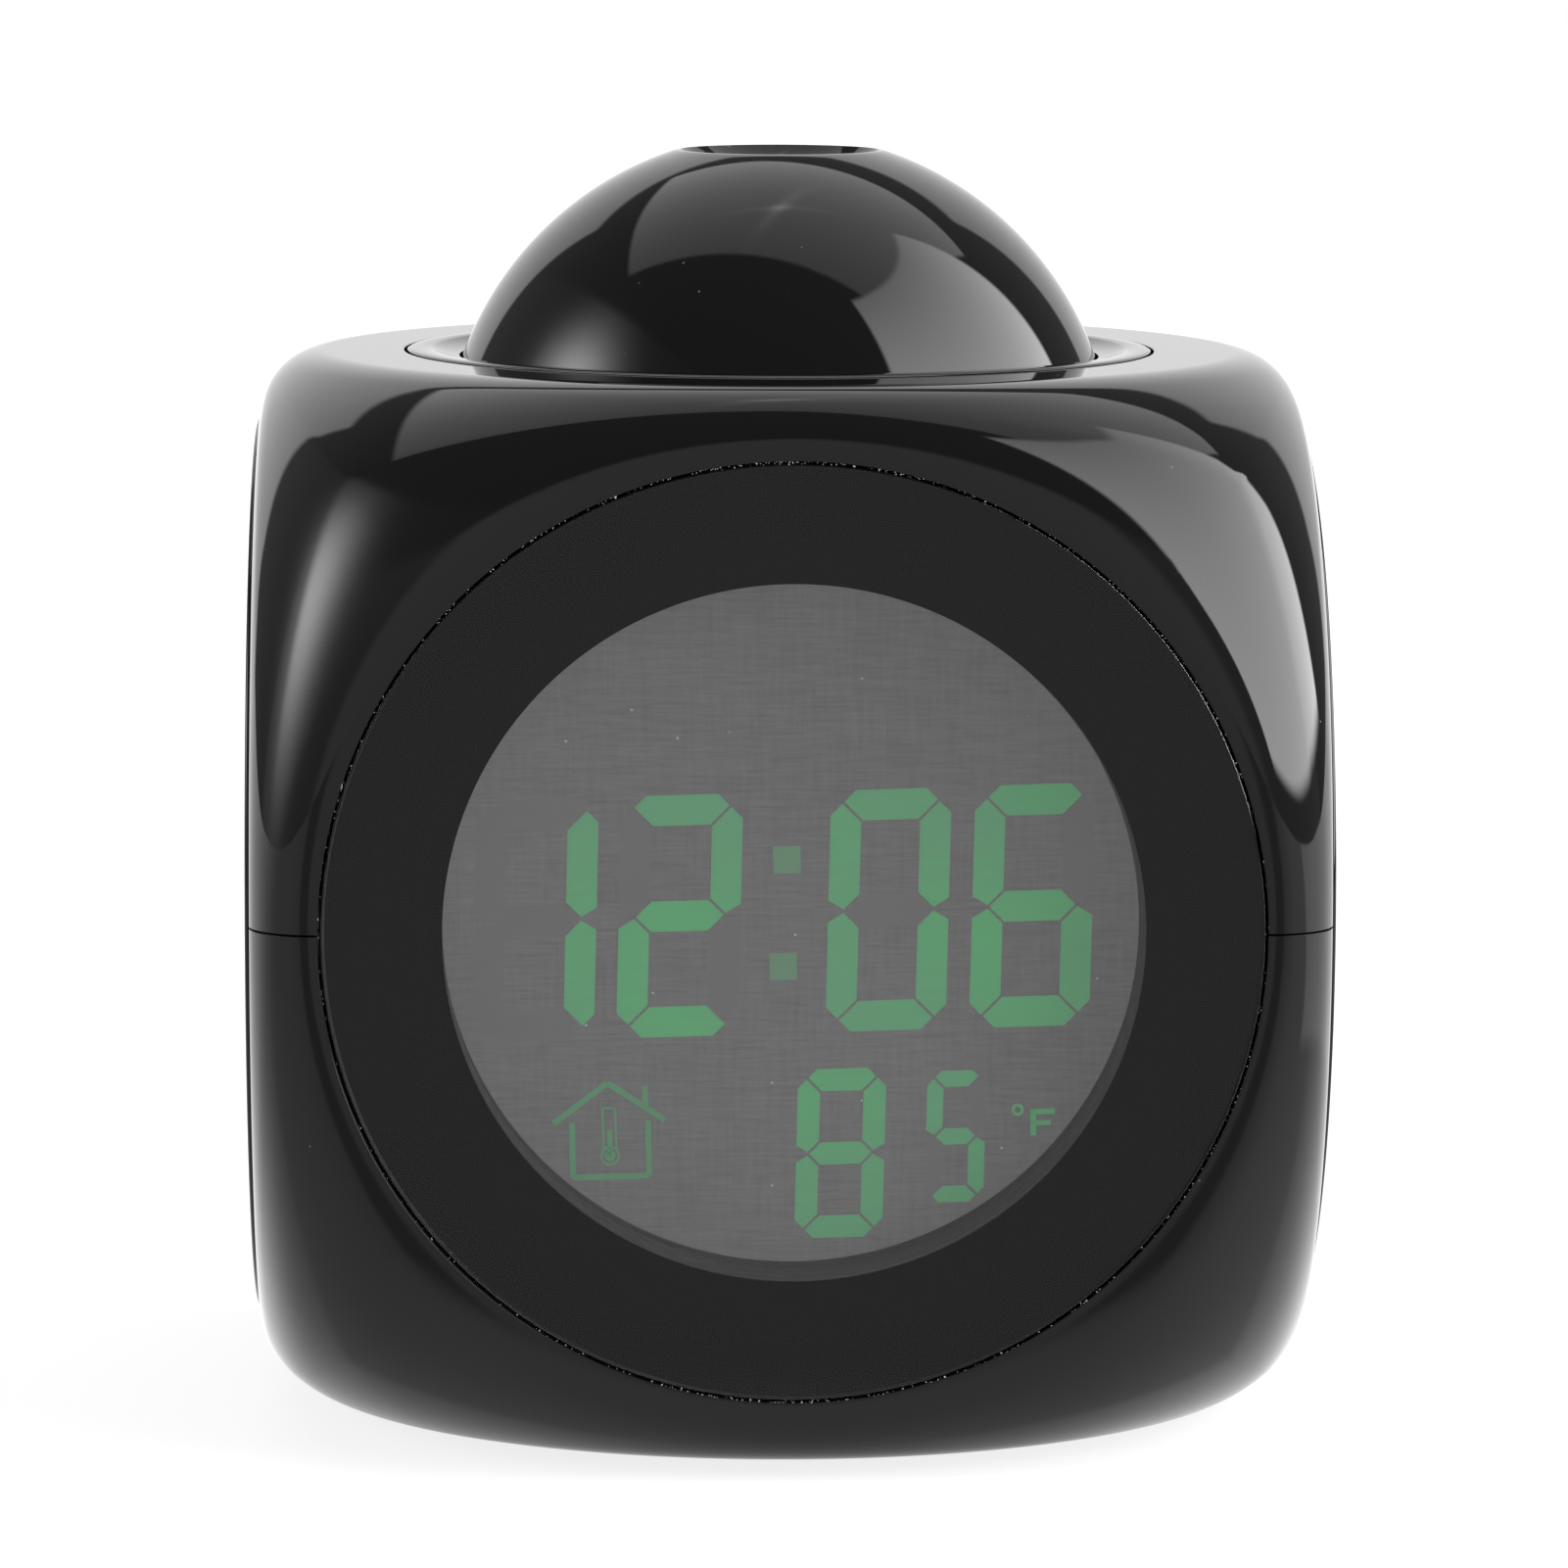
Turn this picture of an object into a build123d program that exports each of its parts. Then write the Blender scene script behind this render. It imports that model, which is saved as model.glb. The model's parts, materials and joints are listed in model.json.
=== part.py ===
"""Desk alarm clock with a tilting projector ball.

Millimetres, +Z up, the display faces -Y. The origin is on the table, under the middle of the clock.
Most pieces are drawn in a face frame: its Z axis points out of a face and its origin is the middle of the case.
"""
from build123d import *
import math
import os

# Case
body_size = 79.4            # flat face to flat face
shoulder = 3.0              # face edge to the flat circle of that face
edge_roll = 4.85            # rounding from each flat circle into the ball-shaped corners
wall = 2.0
split_gap = 0.15            # seam between the two half shells
foot_height = 1.0

# Round openings in the four sides, and the plugs that the shells catch in them
panel_margin = 2.1          # flat circle to the opening
seam_gap = 0.2
lip_wall = 2.0
lip_depth = 5.2
rib_inset = 3.0             # face to the rib that catches a plug
rib_thickness = 1.0
rib_height = 1.2
rib_play = 0.1
shoulder_play = 0.1         # between pieces that sit on each other's shoulders

# Display
lens_thickness = 1.8
mask_thickness = 0.2
window_radius = 25.6
display_recess = 5.3        # printed ring to display glass
lcd_side = 52.4
lcd_thickness = 2.4
lcd_play = 0.2
lcd_frame_wall = 1.5
light_guide_side = 50.0
light_guide_thickness = 2.0
backlight_lamp = (1.0, 3.0, 1.8)
board_thickness = 1.6
board_height = 52.8
strip_width = 1.0
chip_radius = 8.0
chip_height = 1.6
chip_drop = 8.0
crystal_radius = 1.5
crystal_length = 8.0
crystal_place = (14.0, -12.0)
capacitor_radius = 2.0
capacitor_height = 5.0
capacitor_places = ((-16.0, -20.0), (-10.0, -20.0))
post_radius = 2.6
post_gap = 0.5
post_spacing = 24.0
screw_radius = 1.0
screw_head_radius = 1.9
screw_head_height = 1.2
screw_length = 6.0
thread_clearance = 0.02

# Side panels
panel_proud = 0.35
ring_width = 3.0
ring_edge_round = 0.3
plate_gap = 0.4
plate_inset = 0.1           # plate face below the ring's face
plate_thickness = 1.8
ledge_width = 1.8
ledge_thickness = 1.2

# Keys
key_radius = 4.8
key_gap = 0.3
key_pitch_radius = 14.0
key_flange_width = 1.2
key_flange_thickness = 0.8
key_travel = 0.5
key_stem_radius = 1.5
stem_engagement = 0.7       # how far a stem reaches into its switch
switch_side = 6.0
switch_height = 3.2
switch_well_radius = 1.9
switch_clearance = 0.4      # above a switch when its key is pressed
key_board_radius = 23.5
key_post_radius = 2.2

# Speaker
speaker_radius = 14.0
speaker_depth = 5.6
speaker_rim_width = 2.0
speaker_rim_thickness = 1.6
magnet_radius = 7.5
magnet_depth = 2.4
cone_thickness = 0.5
grille_hole_radius = 0.9
grille_pitch = 3.6
grille_rows = 3
speaker_seat_wall = 1.4

# Rear switch
knob_width = 7.0
knob_height = 4.0
knob_travel = 3.0
knob_gap = 0.35
knob_inset = 0.2             # knob face below the rear face
knob_flange = 1.4
knob_flange_thickness = 0.8
rear_plate_thickness = 2.0
slide_body = (16.0, 9.0, 4.5)
slide_drop = 8.0            # middle of the case to the middle of the switch
slide_lever = (2.0, 2.0)
slide_engagement = 1.2      # lever depth inside the switch body

# Press collar
skirt_wall = 2.24
collar_gap = 0.3
cap_proud = 0.15
rim_width = 1.8
rim_round = 0.25
dish_depth = 1.4
dish_wall = 1.3
dish_sag = 0.25
skirt_depth = 6.2
press_travel = 0.6
guide_wall = 2.0
deck_thickness = 1.5
spring_length = 3.5
spring_radius = 0.75
spring_wire = 0.17
spring_turns = 4
leg_width = 6.0
leg_slot_play = 0.5
hook_reach = 1.4
hook_thickness = 1.2
hook_play = 0.3
ear_width = 8.0
ear_drop = 4.2
actuator_width = 3.0
actuator_reach = 2.2         # guide tube's bore to the snooze switch
arm_end = 1.6
rib_spacing = 17.0          # between the two ribs that hold the snooze board
rib_wall = 1.5
groove_depth = 0.8
snooze_board_depth = 7.0

# Projector ball
ball_radius = 25.86
ball_sink = 9.3             # top face of the case to the middle of the ball
ball_gap = 0.4
dome_wall = 1.6
dome_seam = 3.0             # seam above the middle of the ball
dome_seam_gap = 0.1
dome_floor = 14.5           # middle of the ball to its flat underside
spigot_height = 2.0
crown_radius = 7.94
crown_rim = 0.7
funnel_depth = 1.9
funnel_sag = 0.45
aperture_radius = 3.4
pin_radius = 2.0
pin_clearance = 0.05
pin_inset = 0.24             # pin end inside the collar's outer face
barrel_radius = 5.2
barrel_wall = 1.0
barrel_fit = 0.05
socket_wall = 1.5
socket_depth = 7.0
lens_radius = 4.1
lens_edge = 1.0
lens_dome = 0.7
lens_seat_radius = 3.4
lens_seat_thickness = 0.8
aperture_land = 1.4
house_side = 14.0
house_wall = 1.2
house_top = 6.0             # above the middle of the ball
house_low = 5.0             # below the middle of the ball
slide_side = 9.0
slide_thickness = 1.4
condenser_edge = 0.8
condenser_dome = 1.2
lamp_radius = 2.5
lamp_height = 5.0
lead_hole_radius = 4.0

# Cells and battery bay
cell_radius = 5.25
cell_length = 44.5
cell_pitch = 11.0
nub_radius = 2.2
nub_height = 1.0
bay_side_play = 0.35
bay_wall = 1.2
bay_board_gap = 1.15        # bay to the main board
spring_end_length = 3.2
plate_end_length = 0.8
cell_spring_radius = 2.6
cell_spring_wire = 0.3
cell_spring_turns = 3
contact_thickness = 0.4
contact_width = 7.0
contact_height = 7.6
door_gap = 0.3
door_tab_width = 3.0
door_tab_reach = 1.5
door_tab_thickness = 0.9
door_tab_lift = 0.15
door_slot_play = 0.6
snap_reach = 0.15
snap_width = 8.0
finger_notch = 5.0

# Screw pillars and feet
boss_angle = 27.0
boss_clearance = 0.7        # ball to the upper bosses
upper_boss_radius = 3.2
pillar_radius = 4.0
well_radius = 2.8
well_depth = 28.0
case_screw_radius = 1.3
case_screw_length = 20.0
case_head_radius = 2.5
case_head_height = 1.6
foot_radius = 4.0
foot_pocket_gap = 0.2
foot_pocket_depth = 0.8

# Leads
lead_radius = 0.6
lead_hole_gap = 0.3
speaker_lead_start = (-2.0, -6.0)   # clock's y and z on the magnet's back, from the middle of the case
speaker_lead_x = 19.0
speaker_lead_bend = 7.0
battery_lead_inset = 4.1    # above the board's lower edge
battery_lead_bend = 1.5

# Heights and radii that follow from the sizes above, in the face frames
half = body_size / 2
flat_radius = half - shoulder
corner_radius = math.hypot(half, flat_radius)
roll_limit = 0.97 * (math.sqrt(2) * half - corner_radius) / (math.sqrt(2) - 1)
body_roll = min(edge_roll, roll_limit)
inner_half = half - wall
inner_corner = corner_radius - wall
centre_z = foot_height + half
opening_radius = flat_radius - panel_margin
plug_radius = opening_radius - seam_gap
lip_radius = opening_radius + lip_wall
lip_low = half - lip_depth
rib_high = half - rib_inset
rib_low = rib_high - rib_thickness

mask_front = half - lens_thickness
bezel_front = mask_front - mask_thickness
lcd_front = mask_front - display_recess
lcd_back = lcd_front - lcd_thickness
board_front = lcd_back - light_guide_thickness
board_back = board_front - board_thickness
post_x = lcd_side / 2 + lcd_play + lcd_frame_wall + post_gap + post_radius / 2
board_width = 2 * (post_x + post_radius)

ring_top = half + panel_proud
ring_inner = plug_radius - ring_width
plate_radius = ring_inner - plate_gap
plate_top = ring_top - plate_inset
plate_low = plate_top - plate_thickness
key_flange_top = plate_low - shoulder_play
key_flange_low = key_flange_top - key_flange_thickness
key_switch_top = key_flange_low - key_travel - switch_clearance
key_board_top = key_switch_top - switch_height
key_board_low = key_board_top - board_thickness

knob_flange_top = half - rear_plate_thickness - knob_gap
slide_body_top = knob_flange_top - knob_flange_thickness - knob_gap
slide_board_top = slide_body_top - slide_body[2]
slide_board_low = slide_board_top - board_thickness

ball_z = half - ball_sink
skirt_inner = ball_radius + ball_gap
collar_radius = skirt_inner + skirt_wall
cap_top = half + cap_proud
skirt_low = cap_top - skirt_depth
deck_top = skirt_low - spring_length
guide_low = deck_top - deck_thickness
guide_radius = collar_radius + collar_gap
snooze_y = guide_radius + actuator_reach
deck_radius = ball_radius + ball_gap + hook_play
hook_top = guide_low - hook_play
hook_low = hook_top - hook_thickness
snooze_switch_top = hook_low - press_travel - switch_clearance
snooze_board_top = snooze_switch_top - switch_height
snooze_board_low = snooze_board_top - board_thickness
crown_height = math.sqrt(ball_radius**2 - crown_radius**2)
lens_top = crown_height - funnel_depth - aperture_land
house_half = house_side / 2 - house_wall

bay_half_width = cell_pitch + cell_radius + bay_side_play
bay_half_length = (cell_length + spring_end_length + plate_end_length) / 2
bay_y = bay_half_length + bay_wall + bay_board_gap - board_back
bay_floor = -inner_half
cell_axis = bay_floor + bay_side_play + cell_radius
bay_roof = cell_axis + cell_radius + bay_side_play
battery_lead_reach = bay_half_length - lead_radius - 0.05
boss_reach = ball_radius + boss_clearance + upper_boss_radius
boss_x = boss_reach * math.cos(math.radians(boss_angle))
boss_y = boss_reach * math.sin(math.radians(boss_angle))
head_z = well_depth - half

# Face frames
centre = Vector(0, 0, centre_z)
front = Plane(centre, x_dir=(1, 0, 0), z_dir=(0, -1, 0))
rear = Plane(centre, x_dir=(-1, 0, 0), z_dir=(0, 1, 0))
left = Plane(centre, x_dir=(0, -1, 0), z_dir=(-1, 0, 0))
right = Plane(centre, x_dir=(0, 1, 0), z_dir=(1, 0, 0))
upright = Plane(centre)
ball = Plane(centre + Vector(0, 0, ball_z))
sides = (front, rear, left, right)
corners = [(x, y) for x in (-1, 1) for y in (-1, 1)]


def disc(radius, low, high):
    """Cylinder on the Z axis, from one height to another."""
    return Pos(0, 0, (low + high) / 2) * Cylinder(radius, high - low)


def ring(outer, inner, low, high):
    """Tube on the Z axis, from one height to another."""
    return disc(outer, low, high) - disc(inner, low - 1, high + 1)


def block(x_range, y_range, z_range):
    """Box from its ranges along the three axes."""
    low, high = zip(x_range, y_range, z_range)
    size = [b - a for a, b in zip(low, high)]
    middle = [(a + b) / 2 for a, b in zip(low, high)]
    return Pos(*middle) * Box(*size)


def span(width, middle=0.0):
    """Range of a given width about a middle."""
    return (middle - width / 2, middle + width / 2)


def ball_section(height):
    """Radius of the ball at a height above its middle."""
    return math.sqrt(ball_radius**2 - height**2)


def plug(top, inner, low=lip_low):
    """Round plug with the groove that the ribs of both shells run in."""
    body = ring(plug_radius, inner, low, top)
    groove_floor = opening_radius - rib_height - seam_gap
    return body - ring(plug_radius + 1, groove_floor, rib_low - rib_play, rib_high + rib_play)


def plano_lens(radius, edge, dome, low):
    """Lens with a flat underside and a domed top."""
    curve = (radius**2 + dome**2) / (2 * dome)
    cap = Pos(0, 0, low + edge + dome - curve) * Sphere(curve)
    return disc(radius, low, low + edge + dome) & cap


def tact_switch(top):
    """Square tact switch with a well for its stem."""
    body = block(span(switch_side), span(switch_side), (top - switch_height, top))
    well = disc(switch_well_radius, top - stem_engagement - key_travel - switch_clearance, top + 1)
    return body - well


def screw(radius, length, head_radius, head_height, seat):
    """Screw whose head sits under a seat height and whose shank points up."""
    shank = disc(radius, seat, seat + length)
    head = disc(head_radius, seat - head_height, seat)
    slot = block(span(2 * head_radius * 0.7), span(0.6), (seat - head_height - 1, seat - head_height / 2))
    return shank + head - slot


def group(pieces):
    """Several solids that share one node."""
    return Compound(children=list(pieces))


# Case

def half_body(sign):
    """Upper or lower half of the case as a solid: a cube with ball-shaped corners and softened flat circles."""
    heights = sorted((sign * split_gap / 2, sign * half))
    solid = block(span(body_size), span(body_size), heights) & (Rot(0, 0, 45) * Sphere(corner_radius))
    circles = [
        edge for edge in solid.edges()
        if edge.geom_type == GeomType.CIRCLE and abs(edge.radius - flat_radius) < 0.001
    ]
    return fillet(circles, body_roll)


def half_case(sign):
    """Upper or lower half of the case wall with the lips and ribs of its side openings, in the upright frame."""
    outer = half_body(sign)
    heights = sorted((sign * split_gap / 2, sign * inner_half))
    cavity = block(span(2 * inner_half), span(2 * inner_half), heights) & (Rot(0, 0, 45) * Sphere(inner_corner))
    case = outer - cavity
    for side in sides:
        place = Plane((0, 0, 0), x_dir=side.x_dir, z_dir=side.z_dir)
        case += (place * ring(lip_radius, opening_radius, lip_low, half)) & outer
    hole = disc(opening_radius, lip_low - 0.5, half + 1)
    hole -= ring(opening_radius + 1, opening_radius - rib_height, rib_low, rib_high)
    for side in sides:
        case -= Plane((0, 0, 0), x_dir=side.x_dir, z_dir=side.z_dir) * hole
    return case


def boss_places():
    """The four screw places, as positions in the upright frame."""
    return [Pos(x * boss_x, y * boss_y, 0) for x, y in corners]


def upper_shell():
    """Upper half of the case."""
    shell = half_case(1)
    shell += ring(guide_radius + guide_wall, guide_radius, guide_low, inner_half + 0.5)
    shell += ring(guide_radius + guide_wall, deck_radius, guide_low, deck_top)
    for place in boss_places():
        shell += place * disc(upper_boss_radius, split_gap / 2, deck_top)
    shell -= disc(guide_radius, deck_top, half + 1)
    shell -= disc(deck_radius, guide_low - 1, deck_top + 1)
    for place in boss_places():
        hole_top = case_screw_length + head_z + 1
        shell -= place * disc(case_screw_radius + thread_clearance, -1, hole_top)
    rib_range = (guide_radius + 0.1, lip_low - 0.3)
    for x in (-1, 1):
        middle = x * (rib_spacing / 2 + rib_wall / 2 - groove_depth)
        shell += block(span(rib_wall, middle), rib_range, (snooze_board_low - rib_wall, inner_half + 0.5))
    groove = block(span(rib_spacing), (0, lip_low), (snooze_board_low - 0.1, snooze_board_top + 0.1))
    ribs_zone = block(span(rib_spacing + 2 * rib_wall), (0, body_size), (0, guide_low))
    shell -= groove & ribs_zone
    for angle in (45, 135, 225, 315):
        width = leg_width + 2 * leg_slot_play
        slot = block((0, guide_radius), span(width), (guide_low - 1, deck_top + 1))
        shell -= Rot(0, 0, angle) * slot
    for angle in (0, 180):
        width = ear_width + 2 * leg_slot_play
        shell -= Rot(0, 0, angle) * block((0, guide_radius), span(width), (guide_low - 1, deck_top + 1))
    width = actuator_width + 2 * leg_slot_play
    shell -= Rot(0, 0, 90) * block((0, guide_radius), span(width), (guide_low - 1, deck_top + 1))
    return upright * shell


def lower_shell():
    """Lower half of the case with the battery bay moulded in."""
    shell = half_case(-1)
    outer_width = bay_half_width + bay_wall
    outer_length = bay_half_length + bay_wall
    bay = block((-outer_width, outer_width), (-outer_length, outer_length), (bay_floor, bay_roof + bay_wall))
    shell += Pos(0, bay_y, 0) * bay
    for place in boss_places():
        shell += place * disc(pillar_radius, bay_floor - 0.5, -split_gap / 2)
    room = block(
        (-bay_half_width, bay_half_width), (-bay_half_length, bay_half_length), (-body_size, bay_roof)
    )
    shell -= Pos(0, bay_y, 0) * room
    roof_hole = disc(lead_radius + lead_hole_gap, bay_roof - 0.5, bay_roof + bay_wall + 1)
    shell -= Pos(cell_pitch, bay_y - battery_lead_reach, 0) * roof_hole
    for x in (-1, 1):
        tab = span(door_tab_width + 2 * door_slot_play, x * cell_pitch / 2)
        slot_top = bay_floor + math.hypot(door_tab_reach, wall + door_tab_thickness + door_tab_lift) - wall
        slot_top += door_slot_play
        shell -= Pos(0, bay_y, 0) * block(tab, (-outer_length - 1, -bay_half_length + 1), (bay_floor, slot_top))
    for place in boss_places():
        shell -= place * disc(well_radius, -half - 1, head_z)
        shell -= place * disc(case_screw_radius + foot_pocket_gap, head_z - 1, 1)
        shell -= place * disc(foot_radius + foot_pocket_gap, -half - 1, foot_pocket_depth - half)
    return upright * shell


def case_screws():
    """Four screws, up from their wells into the upper bosses."""
    one = screw(case_screw_radius, case_screw_length, case_head_radius, case_head_height, head_z)
    return group(upright * place * one for place in boss_places())


def feet():
    """Four rubber discs that close the screw wells."""
    one = disc(foot_radius, -half - foot_height, foot_pocket_depth - half)
    one = fillet(one.edges().group_by(Axis.Z)[0], 0.3)
    return group(upright * place * one for place in boss_places())


def battery_door():
    """Lid in the underside: two hooks at its front edge and a snap at its rear edge."""
    width = bay_half_width - door_gap
    length = bay_half_length - door_gap
    plate = block((-width, width), (-length, length), (-half, -inner_half))
    tab_low = -inner_half + door_tab_lift
    for x in (-1, 1):
        across = span(door_tab_width, x * cell_pitch / 2)
        plate += block(across, (-length - door_tab_reach, -length + 2), (tab_low, tab_low + door_tab_thickness))
        plate += block(across, (-length, -length + 2), (-inner_half - 0.1, tab_low + 0.1))
    plate += block(span(snap_width), (length - 1, length + snap_reach), (-inner_half - 0.8, -inner_half))
    notch = Pos(0, length, -half) * Cylinder(finger_notch, wall)
    return upright * Pos(0, bay_y, 0) * (plate - notch)


# Display

def front_lens():
    """Clear disc, flush with the front face."""
    return front * disc(plug_radius, mask_front, half)


def lens_mask():
    """Black ring printed behind the lens."""
    return front * ring(plug_radius, window_radius, bezel_front, mask_front)


def display_bezel():
    """Black tube behind the lens with a frame for the display glass and posts for the board."""
    body = plug(bezel_front, window_radius)
    frame = lcd_side / 2 + lcd_play + lcd_frame_wall
    frame_reach = math.sqrt(inner_corner**2 - lip_low**2) - 0.6
    holder = block((-frame, frame), (-frame, frame), (lcd_back, lip_low)) & disc(frame_reach, lcd_back, lip_low)
    body += holder
    for x, y in corners:
        arm = block((0, x * post_x) if x > 0 else (x * post_x, 0), span(2 * post_radius, y * post_spacing / 2),
                    (lcd_front, lip_low))
        body += arm + Pos(x * post_x, y * post_spacing / 2, 0) * disc(post_radius, board_front, lip_low)
    pocket = lcd_side / 2 + lcd_play
    body -= block((-pocket, pocket), (-pocket, pocket), (lcd_back - 1, lcd_front))
    body -= disc(window_radius, lcd_front - 1, bezel_front + 1)
    for x, y in corners:
        hole = disc(screw_radius + thread_clearance, board_front - 1, board_back + screw_length + 0.5)
        body -= Pos(x * post_x, y * post_spacing / 2, 0) * hole
    return front * body


def lcd_panel():
    """Display glass."""
    return front * block(span(lcd_side), span(lcd_side), (lcd_back, lcd_front))


def light_guide():
    """Backlight plate between the glass and the board."""
    return front * block(span(light_guide_side), span(light_guide_side), (board_front, lcd_back))


def backlight_lamps():
    """Light-emitting diodes at the two side edges of the backlight plate."""
    low = light_guide_side / 2 + 0.05
    middle = (board_front + lcd_back) / 2
    lamp = block((low, low + backlight_lamp[0]), span(backlight_lamp[1]), span(backlight_lamp[2], middle))
    return group(front * Rot(0, 0, turn) * lamp for turn in (0, 180))


def zebra_strips():
    """Elastomer connectors from the glass to the board, above and below the backlight plate."""
    middle = (lcd_side + light_guide_side) / 4
    width = min(strip_width, (lcd_side - light_guide_side) / 2)
    strips = [
        block(span(0.8 * light_guide_side), span(width, y * middle), (board_front, lcd_back)) for y in (-1, 1)
    ]
    return group(front * strip for strip in strips)


def main_board():
    """Printed circuit board of the clock."""
    board = block(span(board_width), span(board_height), (board_back, board_front))
    for x, y in corners:
        hole = disc(screw_radius + foot_pocket_gap, board_back - 1, board_front + 1)
        board -= Pos(x * post_x, y * post_spacing / 2, 0) * hole
    return front * board


def board_screws():
    """Four screws from the board into the bezel posts."""
    one = screw(screw_radius, screw_length, screw_head_radius, screw_head_height, board_back)
    return group(front * Pos(x * post_x, y * post_spacing / 2, 0) * one for x, y in corners)


def clock_chip():
    """Potted chip on the back of the main board."""
    curve = (chip_radius**2 + chip_height**2) / (2 * chip_height)
    blob = Pos(0, -chip_drop, board_back - chip_height + curve) * Sphere(curve)
    below = block(span(3 * curve), span(3 * curve), (board_back - 2 * chip_height, board_back))
    return front * (blob & below)


def quartz_crystal():
    """Can of the watch crystal, lying on the board."""
    can = Rot(90, 0, 0) * Cylinder(crystal_radius, crystal_length)
    return front * Pos(*crystal_place, board_back - crystal_radius) * can


def capacitors():
    """Two upright capacitors behind the board."""
    can = disc(capacitor_radius, board_back - capacitor_height, board_back)
    return group(front * Pos(x, y, 0) * can for x, y in capacitor_places)


# Set keys

def side_ring(face):
    """Proud ring plugged into a side opening, with a ledge for the plate inside it."""
    body = plug(ring_top, ring_inner)
    rim = [edge for edge in body.edges().group_by(Axis.Z)[-1]]
    body = fillet(rim, ring_edge_round)
    body += ring(ring_inner + 0.5, ring_inner - ledge_width, plate_low - ledge_thickness, plate_low)
    return face * body


def key_places():
    """The places of the mode, set, up and down keys on their plate."""
    return [
        Pos(key_pitch_radius * math.cos(math.radians(a)), key_pitch_radius * math.sin(math.radians(a)), 0)
        for a in (180, 0, 90, 270)
    ]


def key_post_places():
    """The places of the posts that carry the key board, between the keys."""
    reach = key_board_radius - key_post_radius - 0.5
    return [Rot(0, 0, angle) * Pos(reach, 0, 0) for angle in (65, 115, 245, 295)]


def key_plate():
    """Round plate with the four key holes and the posts behind it."""
    plate = disc(plate_radius, plate_low, plate_top)
    for place in key_places():
        plate -= place * disc(key_radius + key_gap, plate_low - 1, plate_top + 1)
    for place in key_post_places():
        plate += place * disc(key_post_radius, key_board_top, plate_low + 0.5)
        plate -= place * disc(screw_radius + thread_clearance, key_board_top - 1, plate_low)
    return left * plate


def key(place):
    """Round key with a flange behind the plate and a stem into its switch."""
    cap = disc(key_radius, key_flange_low, plate_top)
    cap = fillet(cap.edges().group_by(Axis.Z)[-1], 0.3)
    flange = disc(key_radius + key_flange_width, key_flange_low, key_flange_top)
    stem = disc(key_stem_radius, key_switch_top - stem_engagement, key_flange_low)
    return left * place * (cap + flange + stem)


def key_board():
    """Round board behind the keys."""
    board = disc(key_board_radius, key_board_low, key_board_top)
    for place in key_post_places():
        board -= place * disc(screw_radius + foot_pocket_gap, key_board_low - 1, key_board_top + 1)
    return left * board


def key_switches():
    """Four tact switches."""
    return group(left * place * tact_switch(key_switch_top) for place in key_places())


def key_board_screws():
    """Four screws from the key board into the plate's posts."""
    length = key_board_top - key_board_low + (plate_low - key_board_top) * 0.8
    one = screw(screw_radius, length, screw_head_radius, screw_head_height, key_board_low)
    return group(left * place * one for place in key_post_places())


# Speaker

def speaker_grille():
    """Round plate with rings of sound holes and a seat for the speaker."""
    plate = disc(plate_radius, plate_low, plate_top)
    plate += ring(speaker_radius + lcd_play + speaker_seat_wall, speaker_radius + lcd_play,
                  plate_low - speaker_rim_thickness, plate_low + 0.5)
    hole = disc(grille_hole_radius, plate_low - 1, plate_top + 1)
    holes = [hole]
    for row in range(1, grille_rows + 1):
        for step in range(6 * row):
            holes.append(Rot(0, 0, 60 * step / row) * Pos(row * grille_pitch, 0, 0) * hole)
    return right * (plate - holes)


def speaker_frame():
    """Basket and magnet of the speaker."""
    rim_low = plate_low - speaker_rim_thickness
    back = plate_low - speaker_depth
    basket_low = back + magnet_depth
    profile = Polyline(
        (speaker_radius, plate_low), (speaker_radius, rim_low), (magnet_radius, basket_low),
        (magnet_radius, back), (0, back), (0, back + 0.8 * magnet_depth), (magnet_radius - 2, back + magnet_depth),
        (speaker_radius - speaker_rim_width, rim_low + 0.5), (speaker_radius - speaker_rim_width, plate_low),
        (speaker_radius, plate_low),
    )
    return right * revolve(Plane.XZ * make_face(profile), Axis.Z)


def speaker_cone():
    """Paper cone with its dust cap, hung in the basket's rim."""
    outer = speaker_radius - speaker_rim_width
    top = plate_low - 0.4
    bottom = plate_low - speaker_depth + magnet_depth + cone_thickness + 0.4
    profile = Polyline(
        (outer, top), (outer, top - cone_thickness), (3.0, bottom), (0, bottom),
        (0, bottom + 2 * cone_thickness), (3.0, bottom + cone_thickness), (outer, top),
    )
    return right * revolve(Plane.XZ * make_face(profile), Axis.Z)


# Rear panel and its switch

def switch_post_places():
    """The places of the two posts beside the slide switch."""
    return [Pos(x * (slide_body[0] / 2 + post_radius + 1), -slide_drop, 0) for x in (-1, 1)]


def rear_panel():
    """Round plug in the rear opening with the slot of the slide switch and the posts behind it."""
    low = half - rear_plate_thickness
    panel = plug(half, plug_radius - ring_width) + disc(plug_radius - ring_width + 0.5, low, half)
    slot = block(span(knob_width + 2 * knob_gap), span(knob_height + knob_travel + 2 * knob_gap,
                 -slide_drop), (low - 1, half + 1))
    panel -= slot
    for place in switch_post_places():
        panel += place * disc(post_radius, slide_board_top, low + 0.5)
        panel -= place * disc(screw_radius + thread_clearance, slide_board_top - 1, low)
    return rear * panel


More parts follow.
